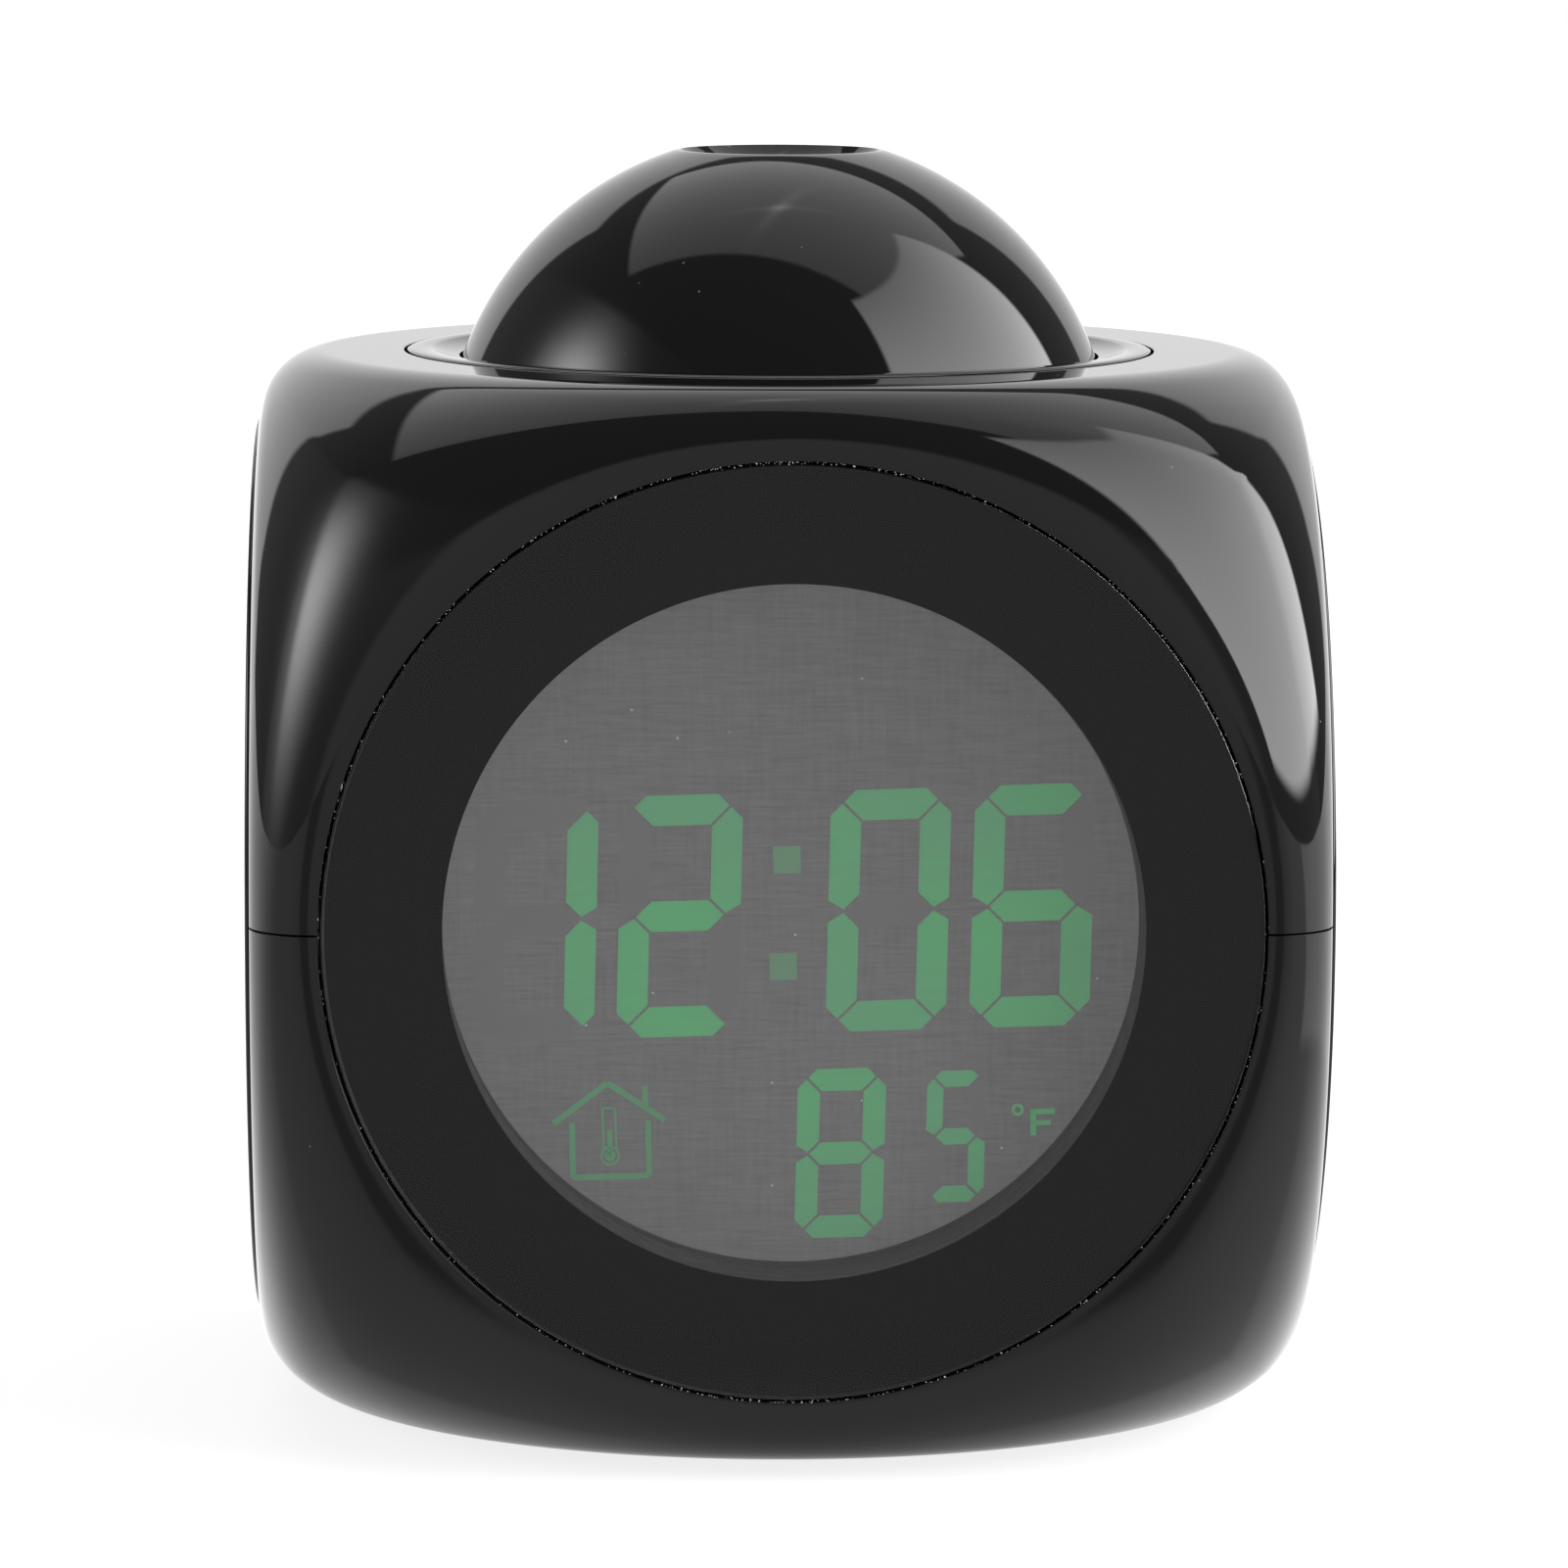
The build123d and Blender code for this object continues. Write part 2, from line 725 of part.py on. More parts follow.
def slide_knob():
    """Ribbed knob of the slide switch, at the lower end of its travel."""
    middle = -slide_drop - knob_travel / 2
    top = half - knob_inset
    knob = block(span(knob_width), span(knob_height, middle), (knob_flange_top - 0.1, top))
    knob += block(span(knob_width + 2 * knob_flange), span(knob_height + 2 * knob_flange, middle),
                  (knob_flange_top - knob_flange_thickness, knob_flange_top))
    lever_low = slide_body_top - slide_engagement
    knob += block(span(slide_lever[0]), span(slide_lever[1], middle), (lever_low, knob_flange_top))
    for step in (-1, 0, 1):
        groove = block(span(knob_width + 1), span(0.5, middle + 1.1 * step), (top - 0.5, top + 1))
        knob -= groove
    return rear * knob


def slide_switch():
    """Body of the slide switch with the channel of its lever."""
    width, height, depth = slide_body
    body = block(span(width), span(height, -slide_drop), (slide_board_top, slide_body_top))
    channel = block(span(slide_lever[0] + 2 * knob_gap),
                    span(slide_lever[1] + knob_travel + 2 * knob_gap, -slide_drop),
                    (slide_body_top - slide_engagement - knob_gap, slide_body_top + 1))
    return rear * (body - channel)


def switch_board():
    """Board behind the rear panel."""
    width = slide_body[0] + 4 * post_radius + 4
    board = block(span(width), span(slide_body[1] + 4, -slide_drop), (slide_board_low, slide_board_top))
    for place in switch_post_places():
        board -= place * disc(screw_radius + foot_pocket_gap, slide_board_low - 1, slide_board_top + 1)
    return rear * board


def switch_board_screws():
    """Two screws from the switch board into the rear panel's posts."""
    one = screw(screw_radius, screw_length, screw_head_radius, screw_head_height, slide_board_low)
    return group(rear * place * one for place in switch_post_places())


# Press collar

def press_cap():
    """Dished collar with its skirt, four hooked legs, two bearing ears and the switch arm."""
    rim_inner = collar_radius - rim_width
    dish_z = cap_top - dish_depth
    dish_r = ball_section(dish_z - ball_z) + ball_gap
    under_z = dish_z - dish_wall
    under_r = ball_section(under_z - ball_z) + ball_gap
    outline = [
        Line((rim_inner, cap_top), (collar_radius - rim_round, cap_top)),
        RadiusArc((collar_radius - rim_round, cap_top), (collar_radius, cap_top - rim_round), rim_round),
        Polyline((collar_radius, cap_top - rim_round), (collar_radius, skirt_low), (skirt_inner, skirt_low),
                 (skirt_inner, under_z - 1.2), (under_r, under_z), (dish_r, dish_z)),
        SagittaArc((dish_r, dish_z), (rim_inner, cap_top), -dish_sag),
    ]
    turned = Rot(0, 0, 20)
    cap = turned * revolve(Plane.XZ * make_face(outline), Axis.Z)
    band = turned * ring(collar_radius, skirt_inner, ball_z - ear_drop, skirt_low + 0.5)
    leg_band = turned * ring(collar_radius, skirt_inner, hook_low, skirt_low + 0.5)
    hook_band = turned * ring(collar_radius + hook_reach, skirt_inner, hook_low, hook_top)
    for angle in (45, 135, 225, 315):
        sector = Rot(0, 0, angle) * block((0, body_size), span(leg_width), (-body_size, body_size))
        cap += (leg_band + hook_band) & sector
    for angle in (0, 180):
        sector = Rot(0, 0, angle) * block((0, body_size), span(ear_width), (-body_size, body_size))
        cap += band & sector
    cap -= Rot(0, 90, 0) * Pos(-ball_z, 0, 0) * Cylinder(pin_radius + pin_clearance, 3 * collar_radius)
    arm_sector = block(span(actuator_width), (0, body_size), (-body_size, body_size))
    cap += leg_band & arm_sector
    cap += block(span(actuator_width), (skirt_inner + 0.2, snooze_y + arm_end), (hook_low, hook_top))
    stem = disc(key_stem_radius, snooze_switch_top - stem_engagement, hook_low + 0.1)
    cap += Pos(0, snooze_y, 0) * stem
    return upright * cap


def press_springs():
    """Four small coil springs between the deck and the skirt."""
    path_radius = (deck_radius + collar_radius) / 2
    height = spring_length - 2 * spring_wire - 0.1
    path = Helix(pitch=height / spring_turns, height=height, radius=spring_radius)
    section = Plane(path @ 0, z_dir=path % 0) * Circle(spring_wire)
    coil = Pos(0, 0, deck_top + spring_wire + 0.05) * sweep(section, path=path)
    places = [Rot(0, 0, angle) * Pos(path_radius, 0, 0) for angle in (68, 112, 248, 292)]
    return group(upright * place * coil for place in places)


def snooze_switch():
    """Tact switch under the collar's arm."""
    return upright * Pos(0, snooze_y, 0) * tact_switch(snooze_switch_top)


def snooze_board():
    """Board in the grooves of the two ribs."""
    width = rib_spacing - 2 * 0.1
    depth = (lip_low - 0.4 - snooze_board_depth, lip_low - 0.4)
    return upright * block(span(width), depth, (snooze_board_low, snooze_board_top))


# Projector ball

def dome_upper():
    """Upper ball shell: flat crown, funnel, aperture and the socket of the lens barrel."""
    low = dome_seam + dome_seam_gap
    shell = Sphere(ball_radius) - Sphere(ball_radius - dome_wall)
    socket_low = lens_top - socket_depth
    core = disc(barrel_radius + barrel_fit + socket_wall, socket_low, ball_radius) & Sphere(ball_radius)
    crown = disc(crown_radius + dome_wall, lens_top - 0.5, ball_radius) & Sphere(ball_radius)
    shell += core + crown
    shell = shell & block(span(3 * ball_radius), span(3 * ball_radius), (low, crown_height))
    funnel = [
        Line((0, crown_height + 1), (crown_radius - crown_rim, crown_height + 1)),
        Line((crown_radius - crown_rim, crown_height + 1), (crown_radius - crown_rim, crown_height)),
        SagittaArc((crown_radius - crown_rim, crown_height), (aperture_radius, crown_height - funnel_depth),
                   funnel_sag),
        Polyline((aperture_radius, crown_height - funnel_depth), (aperture_radius, lens_top - 0.1),
                 (0, lens_top - 0.1), (0, crown_height + 1)),
    ]
    shell -= revolve(Plane.XZ * make_face(funnel), Axis.Z)
    shell -= disc(barrel_radius + barrel_fit, 0, lens_top)
    spigot = ring(ball_radius - dome_wall + 0.5, ball_radius - 2 * dome_wall, low, low + spigot_height)
    shell += spigot & Sphere(ball_radius - 0.2)
    return ball * shell


def dome_lower():
    """Lower ball shell with its flat floor and the two trunnion pins."""
    shell = Sphere(ball_radius) - (Sphere(ball_radius - dome_wall) & disc(ball_radius, dome_wall - dome_floor, 99))
    shell = shell & block(span(3 * ball_radius), span(3 * ball_radius), (-dome_floor, dome_seam))
    shell += ring(ball_radius - dome_wall + 0.3, ball_radius - 2 * dome_wall, -3, dome_seam) & Sphere(ball_radius - 0.2)
    shell -= disc(lead_hole_radius, -ball_radius, 0)
    pin = Rot(0, 90, 0) * disc(pin_radius, ball_radius - dome_wall, collar_radius - pin_inset)
    return ball * (shell + pin + Rot(0, 0, 180) * pin)


def lens_barrel():
    """Tube with the square lamp house below it."""
    tube = disc(barrel_radius, house_top - 0.5, lens_top)
    house = block(span(house_side), span(house_side), (-house_low, house_top))
    room = block(span(2 * house_half), span(2 * house_half), (-house_low - 1, house_top - house_wall))
    body = house - room + tube
    lens_low = lens_top - lens_edge - lens_dome
    body -= disc(barrel_radius - barrel_wall, -house_low, lens_low - lens_seat_thickness)
    body -= disc(lens_seat_radius, 0, lens_top)
    body -= disc(lens_radius + thread_clearance, lens_low, lens_top + 1)
    return ball * body


def projection_lens():
    """Front lens of the projector."""
    return ball * plano_lens(lens_radius, lens_edge, lens_dome, lens_top - lens_edge - lens_dome)


def time_slide():
    """Small transmissive display that the lamp shines through."""
    top = house_top - house_wall
    frame = block(span(2 * house_half - 0.1), span(2 * house_half - 0.1), (top - slide_thickness, top))
    return ball * frame


def condenser_lens():
    """Lens between the lamp and the slide."""
    top = house_top - house_wall - slide_thickness
    return ball * plano_lens(house_half - 0.05, condenser_edge, condenser_dome, top - condenser_edge - condenser_dome)


def projector_lamp():
    """Light-emitting diode."""
    shoulder_z = -house_low + lamp_height - lamp_radius
    body = disc(lamp_radius, -house_low, -house_low + lamp_height) & (Pos(0, 0, shoulder_z) * Sphere(lamp_radius))
    return ball * (body + disc(lamp_radius, -house_low, shoulder_z))


def projector_board():
    """Board that closes the lamp house."""
    return ball * block(span(house_side), span(house_side), (-house_low - board_thickness, -house_low))


# Cells and contacts

def cell_place(index):
    """Place of one cell: they lie front to rear and every second one is turned round."""
    return Pos((index - 1) * cell_pitch, bay_y, cell_axis) * Rot(0, 0, 180 * (index % 2))


def aaa_cell(index):
    """One cell, nub towards the front in its own frame."""
    offset = (spring_end_length - plate_end_length) / 2
    can = Pos(0, nub_height / 2 - offset, 0) * Rot(90, 0, 0) * Cylinder(cell_radius, cell_length - nub_height)
    nub = Pos(0, -(cell_length - nub_height) / 2 - offset, 0) * Rot(90, 0, 0) * Cylinder(nub_radius, nub_height)
    return upright * cell_place(index) * (can + nub)


def battery_springs():
    """Coil contacts at the flat ends of the cells."""
    clear = cell_spring_wire + 0.05
    height = spring_end_length - contact_thickness - 2 * clear
    path = Helix(pitch=height / cell_spring_turns, height=height, radius=cell_spring_radius, cone_angle=0)
    section = Plane(path @ 0, z_dir=path % 0) * Circle(cell_spring_wire)
    coil = sweep(section, path=path)
    start = bay_half_length - contact_thickness - clear - height
    lying = Pos(0, start, 0) * Rot(-90, 0, 0) * coil
    return group(upright * cell_place(index) * lying for index in range(3))


def battery_plates():
    """Flat contacts at both ends of the bay."""
    plate = block(span(contact_width), (bay_half_length - contact_thickness, bay_half_length),
                  span(contact_height))
    pieces = [upright * cell_place(index) * Rot(0, 0, turn) * plate for index in range(3) for turn in (0, 180)]
    return group(pieces)


def lead(points, bend):
    """Lead along straight runs and round bends."""
    path = FilletPolyline(*points, radius=bend)
    return sweep(Plane(path @ 0, z_dir=path % 0) * Circle(lead_radius), path=path)


def speaker_lead():
    """Lead from the speaker's magnet to the back of the main board."""
    points = [
        (plate_low - speaker_depth, *speaker_lead_start),
        (speaker_lead_x, *speaker_lead_start),
        (speaker_lead_x, -board_back, speaker_lead_start[1]),
    ]
    return upright * lead(points, speaker_lead_bend)


def battery_lead():
    """Lead from a battery contact, up through the bay's roof and on to the main board."""
    y = bay_y - battery_lead_reach
    top = battery_lead_inset - board_height / 2
    points = [
        (cell_pitch, y, cell_axis + contact_height / 2),
        (cell_pitch, y, top),
        (cell_pitch, -board_back, top),
    ]
    return upright * lead(points, battery_lead_bend)


def build():
    """All pieces by node name."""
    pieces = {
        "upper_shell": upper_shell(),
        "lower_shell": lower_shell(),
        "case_screws": case_screws(),
        "feet": feet(),
        "battery_door": battery_door(),
        "front_lens": front_lens(),
        "lens_mask": lens_mask(),
        "display_bezel": display_bezel(),
        "lcd_panel": lcd_panel(),
        "light_guide": light_guide(),
        "backlight_lamps": backlight_lamps(),
        "zebra_strips": zebra_strips(),
        "main_board": main_board(),
        "board_screws": board_screws(),
        "clock_chip": clock_chip(),
        "quartz_crystal": quartz_crystal(),
        "capacitors": capacitors(),
        "left_ring": side_ring(left),
        "right_ring": side_ring(right),
        "key_plate": key_plate(),
        "key_board": key_board(),
        "key_switches": key_switches(),
        "key_board_screws": key_board_screws(),
        "speaker_grille": speaker_grille(),
        "speaker_frame": speaker_frame(),
        "speaker_cone": speaker_cone(),
        "speaker_lead": speaker_lead(),
        "rear_panel": rear_panel(),
        "slide_knob": slide_knob(),
        "slide_switch": slide_switch(),
        "switch_board": switch_board(),
        "switch_board_screws": switch_board_screws(),
        "press_cap": press_cap(),
        "press_springs": press_springs(),
        "snooze_switch": snooze_switch(),
        "snooze_board": snooze_board(),
        "dome_upper": dome_upper(),
        "dome_lower": dome_lower(),
        "lens_barrel": lens_barrel(),
        "projection_lens": projection_lens(),
        "time_slide": time_slide(),
        "condenser_lens": condenser_lens(),
        "projector_lamp": projector_lamp(),
        "projector_board": projector_board(),
        "battery_springs": battery_springs(),
        "battery_plates": battery_plates(),
        "battery_lead": battery_lead(),
    }
    for name, place in zip(("mode", "set", "up", "down"), key_places()):
        pieces[f"key_{name}"] = key(place)
    for index in range(3):
        pieces[f"aaa_cell_{index + 1}"] = aaa_cell(index)
    return pieces


os.makedirs("parts", exist_ok=True)
for name, shape in build().items():
    export_step(shape, f"parts/{name}.step")
    print(name, len(shape.solids()), round(shape.volume, 1))
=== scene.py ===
import bpy
import bmesh
import json
import math
import random
from mathutils import Matrix, Vector


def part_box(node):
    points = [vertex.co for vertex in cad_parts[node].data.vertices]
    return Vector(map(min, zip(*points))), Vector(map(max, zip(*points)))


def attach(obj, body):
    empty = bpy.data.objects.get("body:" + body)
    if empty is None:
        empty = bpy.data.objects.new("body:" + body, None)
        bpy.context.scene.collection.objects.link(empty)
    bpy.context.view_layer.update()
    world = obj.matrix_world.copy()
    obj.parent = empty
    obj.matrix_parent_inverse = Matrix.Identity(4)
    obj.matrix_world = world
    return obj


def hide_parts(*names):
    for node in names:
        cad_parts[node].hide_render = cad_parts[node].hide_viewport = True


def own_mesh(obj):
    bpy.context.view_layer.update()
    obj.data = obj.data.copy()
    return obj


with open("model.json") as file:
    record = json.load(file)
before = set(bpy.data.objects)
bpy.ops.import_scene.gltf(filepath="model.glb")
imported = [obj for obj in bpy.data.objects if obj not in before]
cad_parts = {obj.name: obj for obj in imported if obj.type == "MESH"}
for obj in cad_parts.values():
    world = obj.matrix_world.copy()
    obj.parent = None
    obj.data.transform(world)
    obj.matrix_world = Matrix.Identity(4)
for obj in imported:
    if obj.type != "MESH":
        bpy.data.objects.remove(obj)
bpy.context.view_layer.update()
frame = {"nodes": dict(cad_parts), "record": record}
nodes = frame["nodes"]
slotOf = {part["node"]: part["material_slot"] for part in frame["record"]["subparts"]}
scene = bpy.context.scene
mm = 0.001


def nodeBox(name):
    low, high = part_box(name)
    return low / mm, high / mm


shellTop = nodeBox("upper_shell")[1]
half = shellTop.x                    # middle of the case to a flat face, mm
centreZ = shellTop.z - half
print("frame loaded:", len(nodes), "nodes, half case", round(half, 2), "mm")


# camera
camera = {
    "place": (-19.151, -627.339, 127.552),  # mm
    "pan": 0.0313,      # radians to the right of straight ahead
    "tilt": -0.1281,    # radians above the horizon
    "roll": 0.0032,
    "lens": 187.79,     # mm on a 36 mm sensor
}


def addCamera(spec):
    pan, tilt, roll = spec["pan"], spec["tilt"], spec["roll"]
    ahead = Vector((math.sin(pan) * math.cos(tilt), math.cos(pan) * math.cos(tilt), math.sin(tilt)))
    right = Vector((math.cos(pan), -math.sin(pan), 0))
    up = right.cross(ahead)
    xAxis = right * math.cos(roll) + up * math.sin(roll)
    yAxis = up * math.cos(roll) - right * math.sin(roll)
    turn = Matrix((xAxis, yAxis, -ahead)).transposed().to_4x4()
    data = bpy.data.cameras.new("camera")
    data.sensor_width = 36
    data.lens = spec["lens"]
    data.clip_start = 0.01
    data.clip_end = 20
    cam = bpy.data.objects.new("camera", data)
    cam.matrix_world = Matrix.Translation(Vector(spec["place"]) * mm) @ turn
    scene.collection.objects.link(cam)
    scene.camera = cam


addCamera(camera)
scene.view_settings.view_transform = "Standard"


# node helpers
def feed(socket, value):
    if isinstance(value, bpy.types.NodeSocket):
        socket.id_data.links.new(value, socket)
    else:
        socket.default_value = value


def mathNode(tree, kind, *values):
    node = tree.nodes.new("ShaderNodeMath")
    node.operation = kind
    for index, value in enumerate(values):
        feed(node.inputs[index], value)
    return node.outputs[0]


def product(tree, first, *others):
    for value in others:
        first = mathNode(tree, "MULTIPLY", first, value)
    return first


def total(tree, first, *others):
    for value in others:
        first = mathNode(tree, "ADD", first, value)
    return first


def stretched(tree, vector, factors):
    node = tree.nodes.new("ShaderNodeVectorMath")
    node.operation = "MULTIPLY"
    feed(node.inputs[0], vector)
    feed(node.inputs[1], factors)
    return node.outputs[0]


def axesOf(tree, vector):
    node = tree.nodes.new("ShaderNodeSeparateXYZ")
    feed(node.inputs[0], vector)
    return node.outputs


def ramp(tree, value, low, high, start=0.0, end=1.0, smooth=True):
    node = tree.nodes.new("ShaderNodeMapRange")
    node.interpolation_type = "SMOOTHSTEP" if smooth else "LINEAR"
    names = ("Value", "From Min", "From Max", "To Min", "To Max")
    for name, item in zip(names, (value, low, high, start, end)):
        feed(node.inputs[name], item)
    return node.outputs[0]


def softStep(tree, value, edge, soft, start=0.0, end=1.0):
    return ramp(tree, value, edge - soft, edge + soft, start, end)


def window(tree, value, low, high, soft):
    return product(tree, softStep(tree, value, low, soft), softStep(tree, value, high, soft, 1.0, 0.0))


def floatMix(tree, mask, a, b):
    node = tree.nodes.new("ShaderNodeMix")
    node.data_type = "FLOAT"
    for index, value in ((0, mask), (2, a), (3, b)):
        feed(node.inputs[index], value)
    return node.outputs[0]


def colourMix(tree, mask, a, b):
    node = tree.nodes.new("ShaderNodeMix")
    node.data_type = "RGBA"
    feed(node.inputs[0], mask)
    for index, value in ((6, a), (7, b)):
        feed(node.inputs[index], (*value, 1) if isinstance(value, tuple) else value)
    return node.outputs[2]


def shaderMix(tree, mask, first, second):
    node = tree.nodes.new("ShaderNodeMixShader")
    for index, value in enumerate((mask, first, second)):
        feed(node.inputs[index], value)
    return node.outputs[0]


def rayIs(tree, kind):
    return tree.nodes.new("ShaderNodeLightPath").outputs["Is " + kind + " Ray"]


def noise(tree, vector, scale, detail=2.0, rough=0.5):
    node = tree.nodes.new("ShaderNodeTexNoise")
    for name, value in (("Vector", vector), ("Scale", scale), ("Detail", detail), ("Roughness", rough)):
        feed(node.inputs[name], value)
    return node.outputs["Fac"]


def voronoi(tree, vector, scale, feature="F1"):
    node = tree.nodes.new("ShaderNodeTexVoronoi")
    node.feature = feature
    feed(node.inputs["Vector"], vector)
    feed(node.inputs["Scale"], scale)
    return node


def bump(tree, height, strength, depth):
    node = tree.nodes.new("ShaderNodeBump")
    for name, value in (("Height", height), ("Strength", strength), ("Distance", depth * mm)):
        feed(node.inputs[name], value)
    return node.outputs[0]


def millimetres(tree):
    coords = tree.nodes.new("ShaderNodeTexCoord")
    return stretched(tree, coords.outputs["Object"], (1 / mm, 1 / mm, 1 / mm))


def azimuthOf(tree, x, y):
    # 0 towards the camera and growing to the right, degrees
    return product(tree, mathNode(tree, "ARCTAN2", x, product(tree, y, -1.0)), 180 / math.pi)


# shared effects, each a node group
def newGroup(name, inputs, outputs):
    tree = bpy.data.node_groups.new(name, "ShaderNodeTree")
    for label, kind, value in inputs:
        socket = tree.interface.new_socket(name=label, in_out="INPUT", socket_type=kind)
        if value is not None:
            socket.default_value = value
    for label in outputs:
        tree.interface.new_socket(name=label, in_out="OUTPUT", socket_type="NodeSocketFloat")
    return tree, tree.nodes.new("NodeGroupInput").outputs, tree.nodes.new("NodeGroupOutput").inputs


def speckGroup():
    # round specks of dust, one cell in so many carries one
    inputs = (("Vector", "NodeSocketVector", None), ("Cell", "NodeSocketFloat", 1.0),
              ("Chance", "NodeSocketFloat", 0.05), ("Radius", "NodeSocketFloat", 0.1))
    tree, given, result = newGroup("dustSpecks", inputs, ["Mask"])
    cells = voronoi(tree, given["Vector"], mathNode(tree, "DIVIDE", 1.0, given["Cell"]))
    pick = tree.nodes.new("ShaderNodeSeparateColor")
    feed(pick.inputs[0], cells.outputs["Color"])
    chosen = mathNode(tree, "LESS_THAN", pick.outputs[0], given["Chance"])
    reach = product(tree, given["Radius"], ramp(tree, pick.outputs[1], 0, 1, 0.5, 1.0, False))
    away = product(tree, cells.outputs["Distance"], given["Cell"])
    spot = ramp(tree, away, product(tree, reach, 0.5), reach, 1.0, 0.0)
    feed(result["Mask"], product(tree, chosen, spot))
    return tree


def hairlineGroup():
    # short straight handling scratches
    inputs = (("Vector", "NodeSocketVector", None), ("Width", "NodeSocketFloat", 0.02))
    tree, given, result = newGroup("hairlines", inputs, ["Mask"])
    scale = 0.09
    edges = voronoi(tree, given["Vector"], scale, "DISTANCE_TO_EDGE")
    away = mathNode(tree, "DIVIDE", edges.outputs["Distance"], scale)
    line = ramp(tree, away, 0.0, given["Width"], 1.0, 0.0)
    part = ramp(tree, noise(tree, given["Vector"], 0.35, 1.0), 0.56, 0.62)
    feed(result["Mask"], product(tree, line, part))
    return tree


def smudgeGroup():
    # soft uneven polish
    tree, given, result = newGroup("smudges", (("Vector", "NodeSocketVector", None),), ["Mask"])
    broad = noise(tree, given["Vector"], 0.06, 3.0, 0.6)
    fine = noise(tree, given["Vector"], 0.9, 2.0)
    both = product(tree, ramp(tree, broad, 0.42, 0.72), ramp(tree, fine, 0.3, 0.7))
    feed(result["Mask"], both)
    return tree


def grainGroup():
    # mould texture
    inputs = (("Vector", "NodeSocketVector", None), ("Size", "NodeSocketFloat", 0.3))
    tree, given, result = newGroup("mouldGrain", inputs, ["Height"])
    scale = mathNode(tree, "DIVIDE", 1.0, given["Size"])
    lumps = voronoi(tree, given["Vector"], scale).outputs["Distance"]
    fine = noise(tree, given["Vector"], product(tree, scale, 2.0), 2.0)
    feed(result["Height"], total(tree, product(tree, lumps, 0.6), fine))
    return tree


groups = {
    "specks": speckGroup(), "hairlines": hairlineGroup(), "smudges": smudgeGroup(), "grain": grainGroup(),
}


def effect(tree, name, vector, **values):
    node = tree.nodes.new("ShaderNodeGroup")
    node.node_tree = groups[name]
    feed(node.inputs["Vector"], vector)
    for label, value in values.items():
        feed(node.inputs[label], value)
    return node.outputs[0]


print("effects done")


# studio: a sky of plain light panels, azimuth 0 towards the camera and growing to the right
studio = {
    "front": 0.15,
    "card": {"reach": 30, "top": 28, "soft": 5, "topSoft": 3, "power": 0.52},
    "side": 0.26,
    "gap": {"from": 108, "soft": 1.5, "power": 0.15},
    "rear": {"from": 143, "top": 37, "soft": 1.2, "power": 1.05},
    "ceiling": {"turn": -22, "u": (-0.78, 0.62), "v": (-0.15, 0.95), "soft": 0.02, "lowest": 0.05,
                "power": 0.85, "slope": 0.6,
                # a bulb behind the panel: width, length and strength of its spot and streaks
                "bulb": {"across": 0.01, "along": 0.278, "lean": 0.45,
                         "glows": ((0.035, 0.035, 0.8), (0.03, 0.2, 0.35), (0.18, 0.02, 0.25))}},
    "rightBox": {"azimuth": (44, 120), "elevation": (4, 60), "soft": 1.2, "power": (6.9, 2.2)},
    "leftBox": {"azimuth": -85, "elevation": 22, "spread": (15, 13), "power": 6.2,
                "halo": 0.12, "haloGrowth": (3, 2),
                # the glow ends along a plane, and this much of it stays beyond
                "edge": (0.69, 0.14, 0.71), "edgeSoft": 0.03, "beyond": 0.12},
}


def skyAngles(tree):
    coords = tree.nodes.new("ShaderNodeTexCoord")
    x, y, z = axesOf(tree, coords.outputs["Generated"])
    elevation = product(tree, mathNode(tree, "ARCSINE", z), 180 / math.pi)
    return (x, y, z), azimuthOf(tree, x, y), elevation


def gaussian(tree, value, middle, spread):
    away = mathNode(tree, "DIVIDE", mathNode(tree, "SUBTRACT", value, middle), spread)
    return mathNode(tree, "EXPONENT", product(tree, away, away, -1.0))


def blobGlow(tree, azimuth, elevation, blob, growth=(1, 1)):
    wide, tall = blob["spread"]
    return product(tree, gaussian(tree, azimuth, blob["azimuth"], growth[0] * wide),
                   gaussian(tree, elevation, blob["elevation"], growth[1] * tall))


def ceilingPanel(tree, axes, spec):
    # square panel on the ceiling, in its own plane one unit above
    x, y, z = axes
    above = mathNode(tree, "MAXIMUM", z, 0.02)
    across = mathNode(tree, "DIVIDE", x, above)
    along = mathNode(tree, "DIVIDE", y, above)
    c = math.cos(math.radians(spec["turn"]))
    s = math.sin(math.radians(spec["turn"]))
    u = total(tree, product(tree, across, c), product(tree, along, s))
    v = total(tree, product(tree, across, -s), product(tree, along, c))
    soft = spec["soft"]
    mask = product(tree, window(tree, u, *spec["u"], soft), window(tree, v, *spec["v"], soft),
                   mathNode(tree, "GREATER_THAN", z, spec["lowest"]))
    power = total(tree, spec["power"], product(tree, v, spec["slope"]))
    bulb = spec["bulb"]
    past = mathNode(tree, "SUBTRACT", along, bulb["along"])
    beside = mathNode(tree, "SUBTRACT", across, product(tree, past, bulb["lean"]))
    for wide, long, strength in bulb["glows"]:
        spot = product(tree, gaussian(tree, beside, bulb["across"], wide), gaussian(tree, past, 0.0, long))
        power = total(tree, power, product(tree, spot, strength))
    return mask, power


